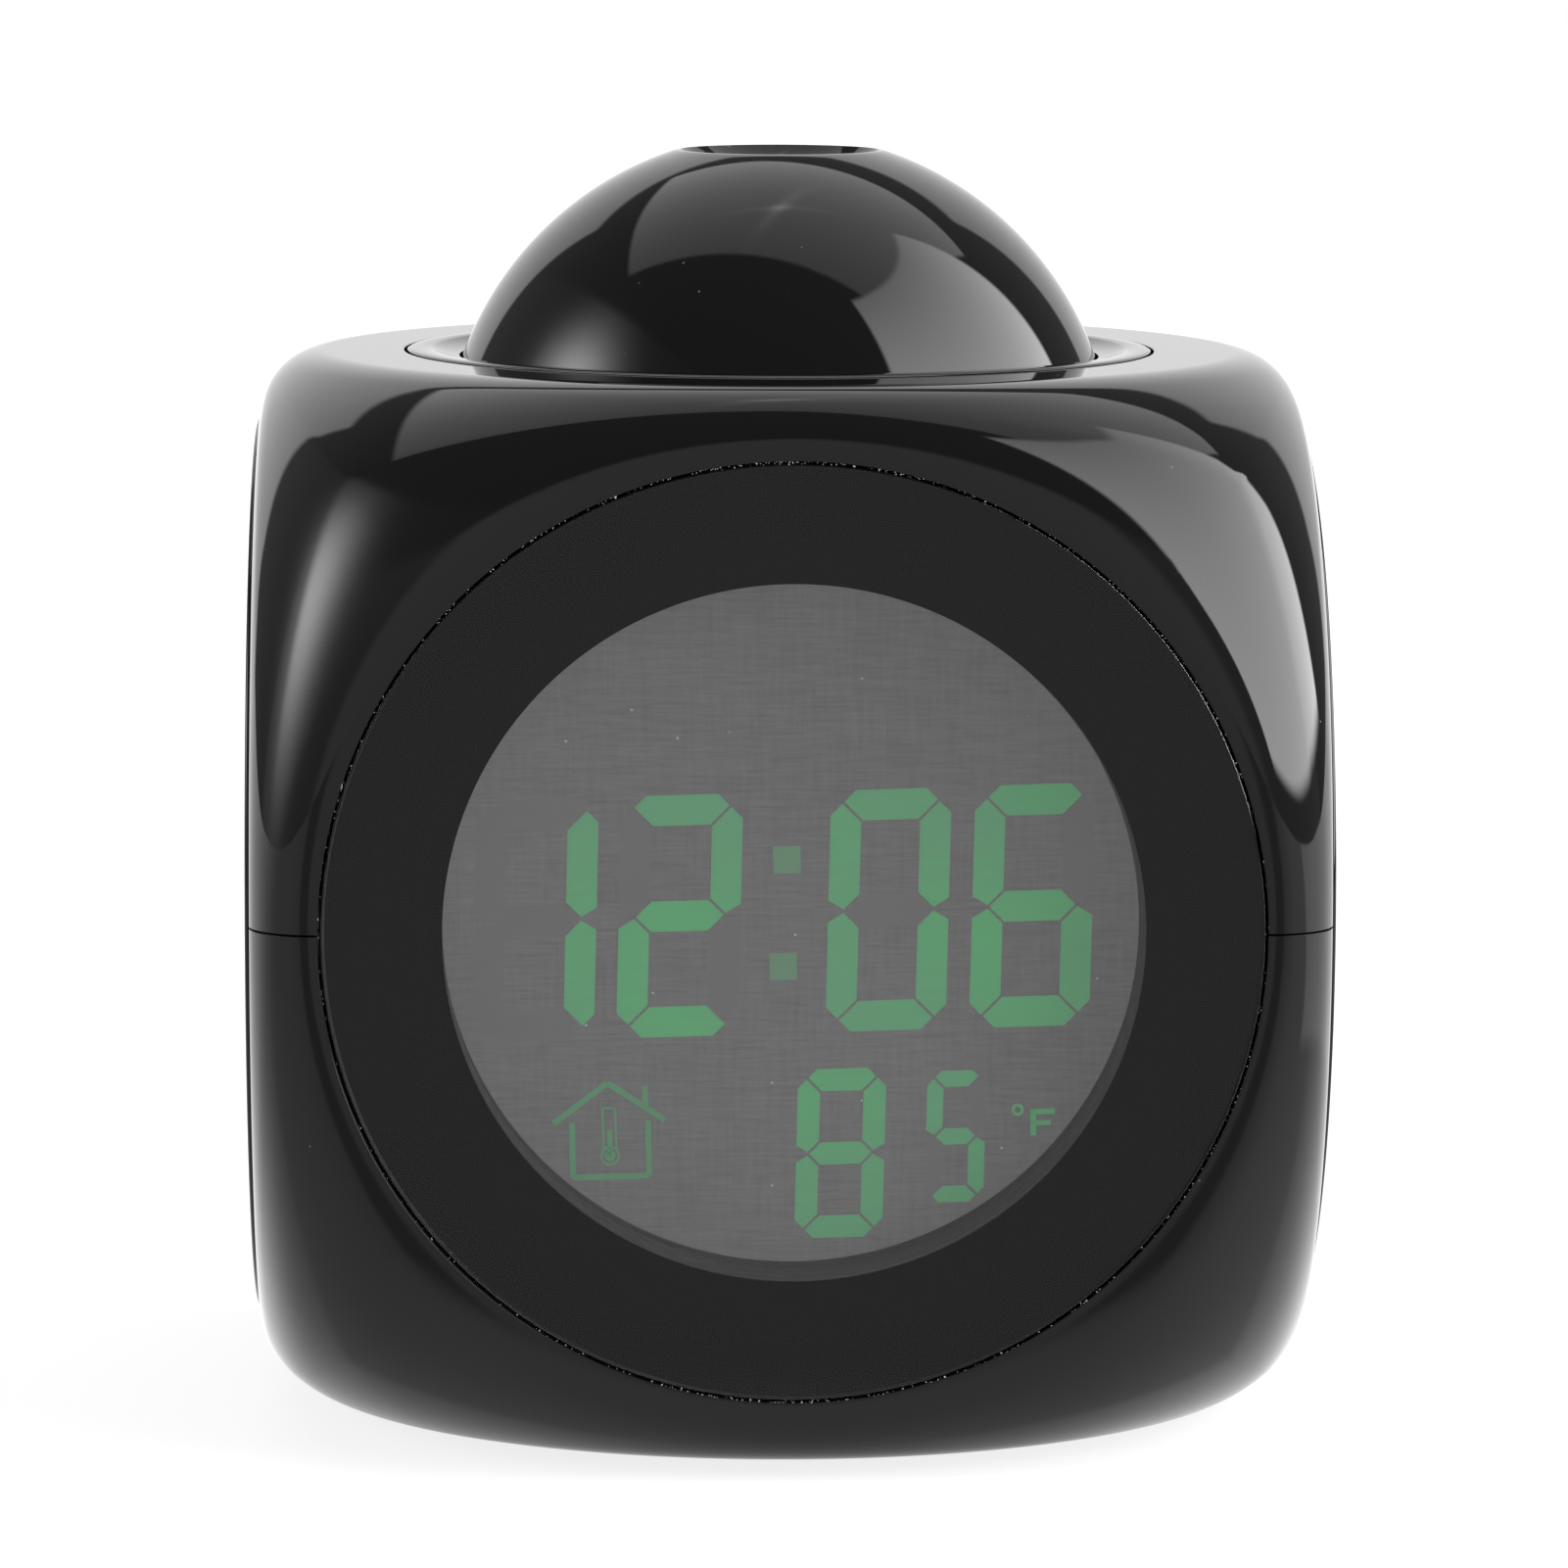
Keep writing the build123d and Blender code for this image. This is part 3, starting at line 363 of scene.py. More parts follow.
def addWorld(spec):
    world = bpy.data.worlds.new("studio")
    scene.world = world
    world.use_nodes = True
    tree = world.node_tree
    tree.nodes.clear()
    axes, azimuth, elevation = skyAngles(tree)
    wide = mathNode(tree, "ABSOLUTE", azimuth)
    # dark front wall with a pale card low down
    card = spec["card"]
    low = softStep(tree, elevation, card["top"], card["topSoft"], 1.0, 0.0)
    value = floatMix(tree, low, spec["front"], spec["side"])
    middle = softStep(tree, wide, card["reach"], card["soft"], 1.0, 0.0)
    value = floatMix(tree, product(tree, low, middle), value, card["power"])
    # rear wall with dark gaps beside it
    gap = spec["gap"]
    value = floatMix(tree, softStep(tree, wide, gap["from"], gap["soft"]), value, gap["power"])
    rear = spec["rear"]
    wall = product(tree, softStep(tree, wide, rear["from"], rear["soft"]),
                   softStep(tree, elevation, rear["top"], rear["soft"], 1.0, 0.0))
    value = floatMix(tree, wall, value, rear["power"])
    mask, power = ceilingPanel(tree, axes, spec["ceiling"])
    value = floatMix(tree, mask, value, power)
    box = spec["rightBox"]
    mask = product(tree, window(tree, azimuth, *box["azimuth"], box["soft"]),
                   window(tree, elevation, *box["elevation"], box["soft"]))
    value = floatMix(tree, mask, value, ramp(tree, elevation, *box["elevation"], *box["power"], smooth=False))
    blob = spec["leftBox"]
    shape = blobGlow(tree, azimuth, elevation, blob)
    halo = blobGlow(tree, azimuth, elevation, blob, blob["haloGrowth"])
    glow = total(tree, product(tree, shape, blob["power"]), product(tree, halo, blob["halo"]))
    over = total(tree, *(product(tree, axis, part) for axis, part in zip(axes, blob["edge"])))
    glow = product(tree, glow, softStep(tree, over, 0, blob["edgeSoft"], 1.0, blob["beyond"]))
    value = total(tree, value, glow)
    value = floatMix(tree, rayIs(tree, "Camera"), value, 1.0)
    background = tree.nodes.new("ShaderNodeBackground")
    background.inputs["Color"].default_value = (1, 1, 1, 1)
    feed(background.inputs["Strength"], value)
    out = tree.nodes.new("ShaderNodeOutputWorld")
    feed(out.inputs[0], background.outputs[0])


addWorld(studio)

floorCard = {
    "size": 3.0,            # half width, m
    "glow": 0.82,           # what the camera sees, before the light that falls on it
    "shade": 0.35,
    # what the clock's gloss sees, by azimuth in degrees and distance in mm
    "front": {"distance": (55, 85), "power": (0.64, 0.5)},
    "side": (28, 50),
    "left": 0.58,
    "right": 0.8,
    "rear": {"azimuth": (66, 112), "power": 1.35},
    "legs": {"azimuth": (18, 30), "beyond": 80, "power": 0.24},
    "rightFoot": {"azimuth": (66, 128), "beyond": 150, "power": 1.6},
    "patchSoft": (3, 12),
}


def floorGlow(tree, spec):
    x, y, _ = axesOf(tree, millimetres(tree))
    azimuth = azimuthOf(tree, x, y)
    wide = mathNode(tree, "ABSOLUTE", azimuth)
    away = mathNode(tree, "SQRT", total(tree, product(tree, x, x), product(tree, y, y)))
    value = ramp(tree, away, *spec["front"]["distance"], *spec["front"]["power"])
    low, high = spec["side"]
    value = floatMix(tree, ramp(tree, azimuth, low, high), value, spec["right"])
    value = floatMix(tree, ramp(tree, azimuth, -low, -high), value, spec["left"])
    value = floatMix(tree, ramp(tree, wide, *spec["rear"]["azimuth"]), value, spec["rear"]["power"])
    turnSoft, awaySoft = spec["patchSoft"]
    for patch, angle in ((spec["legs"], wide), (spec["rightFoot"], azimuth)):
        mask = product(tree, window(tree, angle, *patch["azimuth"], turnSoft),
                       softStep(tree, away, patch["beyond"], awaySoft))
        value = floatMix(tree, mask, value, patch["power"])
    return value


def addFloor(spec):
    mesh = bpy.data.meshes.new("floor")
    bm = bmesh.new()
    bmesh.ops.create_grid(bm, x_segments=1, y_segments=1, size=spec["size"])
    bm.to_mesh(mesh)
    bm.free()
    floor = bpy.data.objects.new("floor", mesh)
    scene.collection.objects.link(floor)
    mat = bpy.data.materials.new("floorCard")
    mat.use_nodes = True
    tree = mat.node_tree
    tree.nodes.clear()
    around = tree.nodes.new("ShaderNodeEmission")
    feed(around.inputs["Strength"], floorGlow(tree, spec))
    shade = tree.nodes.new("ShaderNodeBsdfDiffuse")
    shade.inputs["Color"].default_value = (spec["shade"], spec["shade"], spec["shade"], 1)
    glow = tree.nodes.new("ShaderNodeEmission")
    glow.inputs["Strength"].default_value = spec["glow"]
    both = tree.nodes.new("ShaderNodeAddShader")
    feed(both.inputs[0], shade.outputs[0])
    feed(both.inputs[1], glow.outputs[0])
    above = shaderMix(tree, rayIs(tree, "Camera"), around.outputs[0], both.outputs[0])
    # clear from below, so the underside can be looked at
    side = tree.nodes.new("ShaderNodeNewGeometry")
    clear = tree.nodes.new("ShaderNodeBsdfTransparent")
    out = tree.nodes.new("ShaderNodeOutputMaterial")
    feed(out.inputs[0], shaderMix(tree, side.outputs["Backfacing"], above, clear.outputs[0]))
    mesh.materials.append(mat)


addFloor(floorCard)
print("studio done")


# materials
def newMaterial(name, **values):
    mat = bpy.data.materials.new(name)
    mat.use_nodes = True
    shader = mat.node_tree.nodes["Principled BSDF"]
    for key, value in values.items():
        label = key.replace("_", " ")
        shader.inputs[label].default_value = (*value, 1) if isinstance(value, tuple) else value
    return mat, mat.node_tree, shader, millimetres(mat.node_tree)


def glossPlastic(name, colour, polish=0.022):
    mat, tree, shader, place = newMaterial(name, IOR=1.5)
    specks = effect(tree, "specks", place, Cell=1.1, Chance=0.035, Radius=0.13)
    lines = effect(tree, "hairlines", place, Width=0.025)
    smudges = effect(tree, "smudges", place)
    rough = total(tree, polish, product(tree, smudges, 0.035), product(tree, lines, 0.12))
    feed(shader.inputs["Roughness"], floatMix(tree, specks, rough, 0.6))
    feed(shader.inputs["Base Color"], colourMix(tree, specks, colour, (0.11, 0.11, 0.11)))
    waves = noise(tree, place, 0.11, 1.0)
    feed(shader.inputs["Normal"], bump(tree, waves, 0.5, 0.012))
    return mat


def grainPlastic(name, colour, roughness=0.42, size=0.28):
    mat, tree, shader, place = newMaterial(name, IOR=1.5)
    specks = effect(tree, "specks", place, Cell=1.2, Chance=0.04, Radius=0.13)
    smudges = effect(tree, "smudges", place)
    rough = total(tree, roughness, product(tree, smudges, -0.05))
    feed(shader.inputs["Roughness"], rough)
    feed(shader.inputs["Base Color"], colourMix(tree, specks, colour, (0.1, 0.1, 0.1)))
    feed(shader.inputs["Normal"], bump(tree, effect(tree, "grain", place, Size=size), 0.35, 0.03))
    return mat


def clearGlass(name, colour=(1.0, 1.0, 1.0), roughness=0.0):
    mat, tree, shader, place = newMaterial(name, Base_Color=colour, IOR=1.49, Transmission_Weight=1.0)
    lines = effect(tree, "hairlines", place, Width=0.015)
    feed(shader.inputs["Roughness"], total(tree, roughness, product(tree, lines, 0.05)))
    clear = tree.nodes.new("ShaderNodeBsdfTransparent")
    mix = shaderMix(tree, rayIs(tree, "Shadow"), shader.outputs[0], clear.outputs[0])
    feed(tree.nodes["Material Output"].inputs[0], mix)
    return mat


def glowingDisplayGlass(name, colour):
    # dark polariser with a faint horizontal brushing and a few specks under it; it also glows in its own
    # colour at strength 1.05, a painted glow that no lamp gives
    mat, tree, shader, place = newMaterial(name, IOR=1.4, Specular_IOR_Level=0.25, Emission_Strength=1.05)
    across = noise(tree, stretched(tree, place, (0.35, 1.0, 7.0)), 1.0, 3.0, 0.65)
    down = noise(tree, stretched(tree, place, (5.0, 1.0, 0.25)), 1.0, 2.0, 0.6)
    cloud = noise(tree, place, 0.05, 2.0)
    tone = total(tree, product(tree, across, 0.3), product(tree, down, 0.14), product(tree, cloud, 0.08))
    shades = [tuple(channel * gain for channel in colour) for gain in (0.35, 1.65)]
    base = colourMix(tree, ramp(tree, tone, 0.0, 0.52, smooth=False), *shades)
    specks = effect(tree, "specks", place, Cell=1.7, Chance=0.4, Radius=0.12)
    specked = colourMix(tree, specks, base, tuple(3.0 * c for c in colour))
    feed(shader.inputs["Base Color"], specked)
    # painted glow: the emission repeats the colour, so the display shows its tone without light falling on it
    feed(shader.inputs["Emission Color"], specked)
    feed(shader.inputs["Roughness"], ramp(tree, across, 0.3, 0.7, 0.28, 0.4))
    return mat


def glowingInk(name, colour, deeper):
    # segment ink, for lit and off segments alike, that glows in its own colour at strength 1.05, a painted
    # glow; a broad noise makes it a little richer in places
    mat, tree, shader, place = newMaterial(name, Roughness=0.35, Specular_IOR_Level=0.25,
                                           Emission_Strength=1.05)
    across = noise(tree, stretched(tree, place, (0.3, 1.0, 5.0)), 1.0, 2.0)
    spread = noise(tree, place, 0.08, 1.0)
    mask = total(tree, product(tree, across, 0.35), product(tree, spread, 0.65))
    shade = colourMix(tree, ramp(tree, mask, 0.36, 0.64), deeper, colour)
    feed(shader.inputs["Base Color"], shade)
    # painted glow: the emission repeats the ink colour
    feed(shader.inputs["Emission Color"], shade)
    return mat


def circuitBoard(name):
    mat, tree, shader, place = newMaterial(name, Roughness=0.38, Coat_Weight=0.3)
    cells = voronoi(tree, stretched(tree, place, (1.0, 0.4, 1.0)), 0.35)
    cells.distance = "CHEBYCHEV"
    track = mathNode(tree, "PINGPONG", product(tree, cells.outputs["Distance"], 9.0), 1.0)
    tracks = ramp(tree, track, 0.55, 0.7)
    pads = effect(tree, "specks", place, Cell=2.4, Chance=0.35, Radius=0.75)
    base = colourMix(tree, tracks, (0.008, 0.075, 0.03), (0.014, 0.125, 0.052))
    feed(shader.inputs["Base Color"], colourMix(tree, pads, base, (0.55, 0.56, 0.55)))
    feed(shader.inputs["Metallic"], product(tree, pads, 0.9))
    feed(shader.inputs["Normal"], bump(tree, tracks, 0.4, 0.03))
    return mat


def metal(name, colour, roughness, stretch=(1.0, 1.0, 9.0)):
    mat, tree, shader, place = newMaterial(name, Base_Color=colour, Metallic=1.0)
    brushed = noise(tree, stretched(tree, place, stretch), 1.2, 3.0, 0.6)
    feed(shader.inputs["Roughness"], ramp(tree, brushed, 0.3, 0.7, roughness * 0.75, roughness * 1.3))
    feed(shader.inputs["Normal"], bump(tree, brushed, 0.2, 0.01))
    return mat


def rubber(name, colour):
    mat, tree, shader, place = newMaterial(name, Roughness=0.82, Specular_IOR_Level=0.3)
    dust = ramp(tree, noise(tree, place, 1.1, 4.0, 0.7), 0.5, 0.75)
    feed(shader.inputs["Base Color"], colourMix(tree, dust, colour, tuple(3.0 * c for c in colour)))
    feed(shader.inputs["Normal"], bump(tree, effect(tree, "grain", place, Size=0.2), 0.6, 0.05))
    return mat


def zebraStrip(name):
    mat, tree, shader, place = newMaterial(name, Roughness=0.6)
    along = axesOf(tree, place)[0]
    layer = ramp(tree, mathNode(tree, "PINGPONG", product(tree, along, 5.0), 1.0), 0.4, 0.6)
    feed(shader.inputs["Base Color"], colourMix(tree, layer, (0.02, 0.02, 0.02), (0.32, 0.3, 0.3)))
    return mat


def cellSleeve(name):
    # printed sleeve in two plain tones, bare metal at both ends
    mat, tree, shader, place = newMaterial(name)
    along = axesOf(tree, place)[1]
    band = ramp(tree, along, 9.8, 10.0)
    low, high = -22.25, 22.25
    ends = mathNode(tree, "SUBTRACT", 1.0, window(tree, along, low + 0.8, high - 1.2, 0.05))
    foil = noise(tree, stretched(tree, place, (1.0, 0.15, 1.0)), 3.0, 2.0)
    sleeve = colourMix(tree, band, (0.018, 0.03, 0.055), (0.62, 0.4, 0.13))
    feed(shader.inputs["Base Color"], colourMix(tree, ends, sleeve, (0.66, 0.67, 0.68)))
    feed(shader.inputs["Metallic"], mathNode(tree, "MAXIMUM", ends, product(tree, band, 0.7)))
    feed(shader.inputs["Roughness"], ramp(tree, foil, 0.3, 0.7, 0.2, 0.34))
    return mat


def conePaper(name):
    mat, tree, shader, place = newMaterial(name, Roughness=0.85)
    fibre = noise(tree, stretched(tree, place, (1.0, 3.0, 0.8)), 2.5, 4.0, 0.7)
    tones = ((0.02, 0.02, 0.02), (0.05, 0.048, 0.045))
    feed(shader.inputs["Base Color"], colourMix(tree, ramp(tree, fibre, 0.35, 0.65), *tones))
    feed(shader.inputs["Normal"], bump(tree, fibre, 0.5, 0.04))
    return mat


def coloured(name, colour, roughness, **extra):
    mat, tree, shader, place = newMaterial(name, **extra)
    patch = noise(tree, place, 0.8, 3.0)
    shades = [tuple(min(1.0, c * gain) for c in colour) for gain in (0.85, 1.12)]
    feed(shader.inputs["Base Color"], colourMix(tree, ramp(tree, patch, 0.35, 0.65), *shades))
    feed(shader.inputs["Roughness"], ramp(tree, patch, 0.3, 0.7, roughness * 0.8, roughness * 1.15))
    return mat


finish = {
    "gloss_black": glossPlastic("glossBlack", (0.0035, 0.0035, 0.0037)),
    "collar_gloss": glossPlastic("collarGloss", (0.0035, 0.0035, 0.0037), 0.03),
    "matte_black": grainPlastic("matteBlack", (0.012, 0.012, 0.0125)),
    "clear_lens": clearGlass("lensClear"),
    "lcd_glass": glowingDisplayGlass("displayGreyGlow", (0.066, 0.065, 0.0665)),
    "guide_clear": clearGlass("guideClear", (0.9, 0.95, 0.92), 0.12),
    "board_green": circuitBoard("boardGreen"),
    "chip_black": coloured("chipBlack", (0.012, 0.012, 0.012), 0.3),
    "can_metal": metal("canMetal", (0.62, 0.62, 0.6), 0.3),
    "steel": metal("steel", (0.55, 0.55, 0.56), 0.32),
    "spring_steel": metal("springSteel", (0.6, 0.58, 0.54), 0.25, (4.0, 4.0, 1.0)),
    "rubber_black": rubber("rubberBlack", (0.011, 0.011, 0.011)),
    "strip_grey": zebraStrip("zebraStrip"),
    "switch_black": coloured("switchBlack", (0.015, 0.015, 0.016), 0.45),
    "cell_sleeve": cellSleeve("cellSleeve"),
    "cone_paper": conePaper("conePaper"),
    "wire_red": coloured("wireRed", (0.5, 0.02, 0.018), 0.35, Coat_Weight=0.2),
    "lamp_white": coloured("lampWhite", (0.78, 0.77, 0.72), 0.2, Transmission_Weight=0.25),
}
printInk = coloured("printInk", (0.0008, 0.0008, 0.0009), 0.6, Specular_IOR_Level=0.0)
frameInk = coloured("frameInk", (0.034, 0.034, 0.035), 0.8, Specular_IOR_Level=0.1)
satin = grainPlastic("satinBlack", (0.008, 0.008, 0.0085), 0.3, 0.35)
special = {
    "key_plate": satin, "speaker_grille": satin, "rear_panel": satin, "battery_door": satin,
    "slide_knob": finish["matte_black"], "display_bezel": frameInk,
}

for name, node in nodes.items():
    node.data.materials.clear()
    node.data.materials.append(special.get(name, finish[slotOf[name]]))
print("materials done:", len(finish) + 3)


# shape helpers
upright = Matrix.Translation((0, 0, centreZ))
faceTurns = {
    "top": Matrix.Identity(4),
    "bottom": Matrix.Rotation(math.pi, 4, "X"),
    "front": Matrix.Rotation(math.pi / 2, 4, "X"),
    "rear": Matrix.Rotation(-math.pi / 2, 4, "X"),
    "right": Matrix.Rotation(math.pi / 2, 4, "Y"),
    "left": Matrix.Rotation(-math.pi / 2, 4, "Y"),
}


def finishPiece(name, bm, material, body, smooth=True, sharp=40):
    mesh = bpy.data.meshes.new(name)
    bmesh.ops.transform(bm, matrix=Matrix.Scale(mm, 4), verts=bm.verts)
    for face in bm.faces:
        face.smooth = smooth
    bm.to_mesh(mesh)
    bm.free()
    if smooth:
        mesh.set_sharp_from_angle(angle=math.radians(sharp))
    mesh.materials.append(material)
    piece = bpy.data.objects.new(name, mesh)
    scene.collection.objects.link(piece)
    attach(piece, body)
    return piece


def softCorners(points, steps=5):
    # outline in radius and height; a third number rounds that corner, with a support point beside each arc
    result = []
    count = len(points)
    for index, point in enumerate(points):
        here = Vector(point[:2])
        if len(point) < 3:
            result.append(tuple(here))
            continue
        before = (Vector(points[index - 1][:2]) - here).normalized()
        after = (Vector(points[(index + 1) % count][:2]) - here).normalized()
        turn = before.angle(after)
        back = point[2] / math.tan(turn / 2)
        middle = here + (before + after).normalized() * point[2] / math.sin(turn / 2)
        start = here + before * back - middle
        sweep = start.angle_signed(here + after * back - middle)
        result.append(tuple(here + before * (back + 0.6 * point[2])))
        for step in range(steps + 1):
            angle = -sweep * step / steps
            c, s = math.cos(angle), math.sin(angle)
            result.append((middle.x + start.x * c - start.y * s, middle.y + start.x * s + start.y * c))
        result.append(tuple(here + after * (back + 0.6 * point[2])))
    return result


def arcPoints(middle, radius, start, end, steps):
    angles = [math.radians(start + (end - start) * step / steps) for step in range(steps + 1)]
    return [(middle[0] + radius * math.cos(a), middle[1] + radius * math.sin(a)) for a in angles]


def sagArc(start, end, sag, steps=10):
    # shallow arc from one point to the next, bulging to the right of the way by sag
    a, b = Vector(start), Vector(end)
    way = b - a
    side = Vector((way.y, -way.x)).normalized()
    parts = [step / steps for step in range(steps + 1)]
    return [tuple(a + way * t + side * 4 * sag * t * (1 - t)) for t in parts]


def spun(outline, segments=256):
    bm = bmesh.new()
    corners = [bm.verts.new((r, 0, h)) for r, h in outline]
    edges = [bm.edges.new(pair) for pair in zip(corners, corners[1:] + corners[:1])]
    bmesh.ops.spin(bm, geom=corners + edges, cent=(0, 0, 0), axis=(0, 0, 1), angle=2 * math.pi,
                   steps=segments, use_merge=True)
    bmesh.ops.remove_doubles(bm, verts=bm.verts, dist=1e-5)
    bmesh.ops.recalc_face_normals(bm, faces=bm.faces)
    return bm


def sharpRims(mesh):
    bm = bmesh.new()
    bm.from_mesh(mesh)
    for edge in bm.edges:
        if edge.is_boundary:
            edge.smooth = False
    bm.to_mesh(mesh)
    bm.free()


def turned(bm, matrix):
    bmesh.ops.transform(bm, matrix=matrix, verts=bm.verts)
    return bm


# case surface: six round faces that roll over into ball-shaped corners
caseSkin = {
    "flat": 34.74,          # radius of each flat circle
    "opening": 34.62,
    "topOpening": 28.82,
    "roll": 4.85,           # rounding at the middle of an edge
    "ball": 54.06,          # case middle to the middle of a rounded edge
    "fullness": 0.72,       # how far the corners fill out
    "cornerTilt": 9.74,     # how much steeper the surface ends at a corner, degrees
    "cornerPower": 8,
    "lift": 0.02,
    "edge": 0.1,
    "edgeSteps": 4,
    "lip": 1.0,             # how far the skin turns in at an opening
    "thickness": 0.5,
    "segments": 256,
    "steps": 26,
    "splitGap": 0.15,
    "rimRound": 0.08,
}


def skinHeight(r, fold, spec):
    # height of the case surface over a face, at a radius and an angle from the nearest edge, in radians
    flat, roll, ballRadius = spec["flat"], spec["roll"], spec["ball"]
    if r <= flat:
        return half
    rolling = r - flat < roll * math.sin(math.pi / 4)
    low = half - roll + math.sqrt(max(roll**2 - (r - flat)**2, 0)) if rolling else 0
    simple = low or math.sqrt(ballRadius**2 - r**2)
    tilt = math.radians(45 + spec["cornerTilt"] * (math.degrees(fold) / 45) ** spec["cornerPower"])
    full = (half - flat * math.cos(fold)) / (1 - math.cos(tilt) + math.sin(tilt) * math.cos(fold))
    rolled = half - full + math.sqrt(max(full**2 - (r - flat)**2, 0))
    return simple + (rolled - simple) * spec["fullness"]


def ridgeRadius(fold, spec):
    low, high = spec["flat"], 1.3 * half
    for _ in range(40):
        middle = (low + high) / 2
        if skinHeight(middle, fold, spec) > middle * math.cos(fold):
            low = middle
        else:
            high = middle
    return low


def faceRings(spec, inner, rounded):
    # one list of (radius, height) per segment, from the opening out to the ridge
    count = spec["segments"]
    columns = []
    for index in range(count):
        turn = 360 * index / count
        fold = math.radians(min(turn % 90, 90 - turn % 90))
        start = []
        edge = spec["edge"]
        if rounded:
            start.append((inner, half - spec["lip"]))
            for step in range(spec["edgeSteps"] + 1):
                angle = math.radians(90 * step / spec["edgeSteps"])
                start.append((inner + edge * (1 - math.cos(angle)), half - edge * (1 - math.sin(angle))))
        if inner < spec["flat"] - 1:
            start += [(inner + 2 * edge, half), (spec["flat"] - 0.2, half)]
        ridge = ridgeRadius(fold, spec)
        for step in range(spec["steps"] + 1):
            r = spec["flat"] + (ridge - spec["flat"]) * (step / spec["steps"])
            start.append((r, skinHeight(r, fold, spec)))
        columns.append(start)
    return columns


def caseSurface(spec):
    whole = bmesh.new()
    count = spec["segments"]
    for name, matrix in faceTurns.items():
        inner = spec["topOpening"] if name == "top" else spec["opening"]
        columns = faceRings(spec, inner if name != "bottom" else spec["flat"], name != "bottom")
        ringVerts = []
        for level in range(len(columns[0])):
            row = []
            for index in range(count):
                r, h = columns[index][level]
                a = 2 * math.pi * index / count
                row.append(whole.verts.new(matrix @ Vector((r * math.cos(a), r * math.sin(a), h))))
            ringVerts.append(row)
        for lower, upper in zip(ringVerts, ringVerts[1:]):
            for index in range(count):
                after = (index + 1) % count
                whole.faces.new((lower[index], upper[index], upper[after], lower[after]))
    bmesh.ops.remove_doubles(whole, verts=whole.verts, dist=0.002)
    bmesh.ops.recalc_face_normals(whole, faces=whole.faces)
    return turned(whole, Matrix.Scale(1 + spec["lift"] / half, 4))


def halfSkin(whole, side, spec):
    part = whole.copy()
    plane = (0, 0, side * spec["splitGap"] / 2)
    geometry = list(part.verts) + list(part.edges) + list(part.faces)
    bmesh.ops.bisect_plane(part, geom=geometry, plane_co=plane, plane_no=(0, 0, side), clear_inner=True,
                           dist=1e-4)
    return turned(part, upright)


def addCaseSkins(spec):
    whole = caseSurface(spec)
    for side, name in ((1, "case_skin_upper"), (-1, "case_skin_lower")):
        piece = finishPiece(name, halfSkin(whole, side, spec), finish["gloss_black"], "case")
        sharpRims(piece.data)
        shell = piece.modifiers.new("wall", "SOLIDIFY")
        shell.thickness = spec["thickness"] * mm
        shell.offset = -1.0
        rim = piece.modifiers.new("rim", "BEVEL")
        rim.width = spec["rimRound"] * mm
        rim.segments = 2
        rim.limit_method = "ANGLE"
        rim.angle_limit = math.radians(60)
        rim.harden_normals = True
    whole.free()


addCaseSkins(caseSkin)
print("case surface done")


# projector ball
domeShell = {
    "radius": 25.86, "middle": 30.4, "wall": 1.6, "seam": 3.1,
    "crown": 7.94, "crownRim": 0.3, "funnelDepth": 1.9, "funnelSag": 0.45,
    "aperture": 3.4, "land": 1.4, "barrel": 5.25, "socketWall": 1.5, "socketDepth": 7.0,
}


def addDome(spec):
    radius = spec["radius"]
    inside = radius - spec["wall"]
    crownHeight = math.sqrt(radius**2 - spec["crown"]**2)
    lensTop = crownHeight - spec["funnelDepth"] - spec["land"]
    collar = spec["crown"] + spec["wall"]
    socket = spec["barrel"] + spec["socketWall"]
    start = math.degrees(math.asin(spec["seam"] / radius))
    end = math.degrees(math.atan2(crownHeight, spec["crown"]))
    outline = arcPoints((0, 0), radius, start, end - 0.35, 60)
    outline.append((spec["crown"] - 0.05, crownHeight))
    lip = (spec["crown"] - spec["crownRim"], crownHeight)
    outline += sagArc(lip, (spec["aperture"], crownHeight - spec["funnelDepth"]), -spec["funnelSag"], 16)
    low = lensTop - spec["socketDepth"]
    outline += [(spec["aperture"], lensTop), (spec["barrel"], lensTop), (spec["barrel"], low),
                (socket, low), (socket, lensTop - 0.5), (collar, lensTop - 0.5)]
    begin = math.degrees(math.acos(collar / inside))
    outline += arcPoints((0, 0), inside, begin, math.degrees(math.asin(spec["seam"] / inside)), 40)
    bm = turned(spun(outline), upright @ Matrix.Translation((0, 0, spec["middle"])))
    piece = finishPiece("dome_shell", bm, finish["gloss_black"], "projector", sharp=25)
    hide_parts("dome_upper")


addDome(domeShell)

# dished collar round the ball
collarSkin = {
    "outer": 28.5, "rim": 1.8, "edge": (0.45, 0.14), "dishRadius": 24.55, "dishDepth": 0.6, "dishSag": 0.1,
    "lift": 0.02, "depth": 1.5, "thickness": 0.35,
}


def addCollar(spec):
    top = nodeBox("press_cap")[1].z + spec["lift"]
    outer = spec["outer"] + spec["lift"]
    rim = spec["outer"] - spec["rim"]
    dishEnd = (spec["dishRadius"], top - spec["dishDepth"])
    dish = sagArc(dishEnd, (rim, top), spec["dishSag"], 14)
    under = [(r + 0.1, h - spec["thickness"]) for r, h in reversed(dish)]
    across, down = spec["edge"]
    slope = sagArc((outer - across, top), (outer, top - down), -0.02, 6)
    outline = dish + slope + [
        (outer, top - spec["depth"]), (outer - 2 * spec["thickness"], top - spec["depth"]),
        (outer - 2 * spec["thickness"], top - spec["thickness"]),
    ]
    bm = spun(outline + under)
    finishPiece("collar_skin", bm, finish["collar_gloss"], "press_cap", sharp=30)


addCollar(collarSkin)

# coil springs under the collar
capSprings = {
    "angles": (68, 112, 248, 292), "coil": 0.75, "wire": 0.17, "turns": 4, "turnSteps": 24, "sides": 8,
    "travel": 0.6,
}


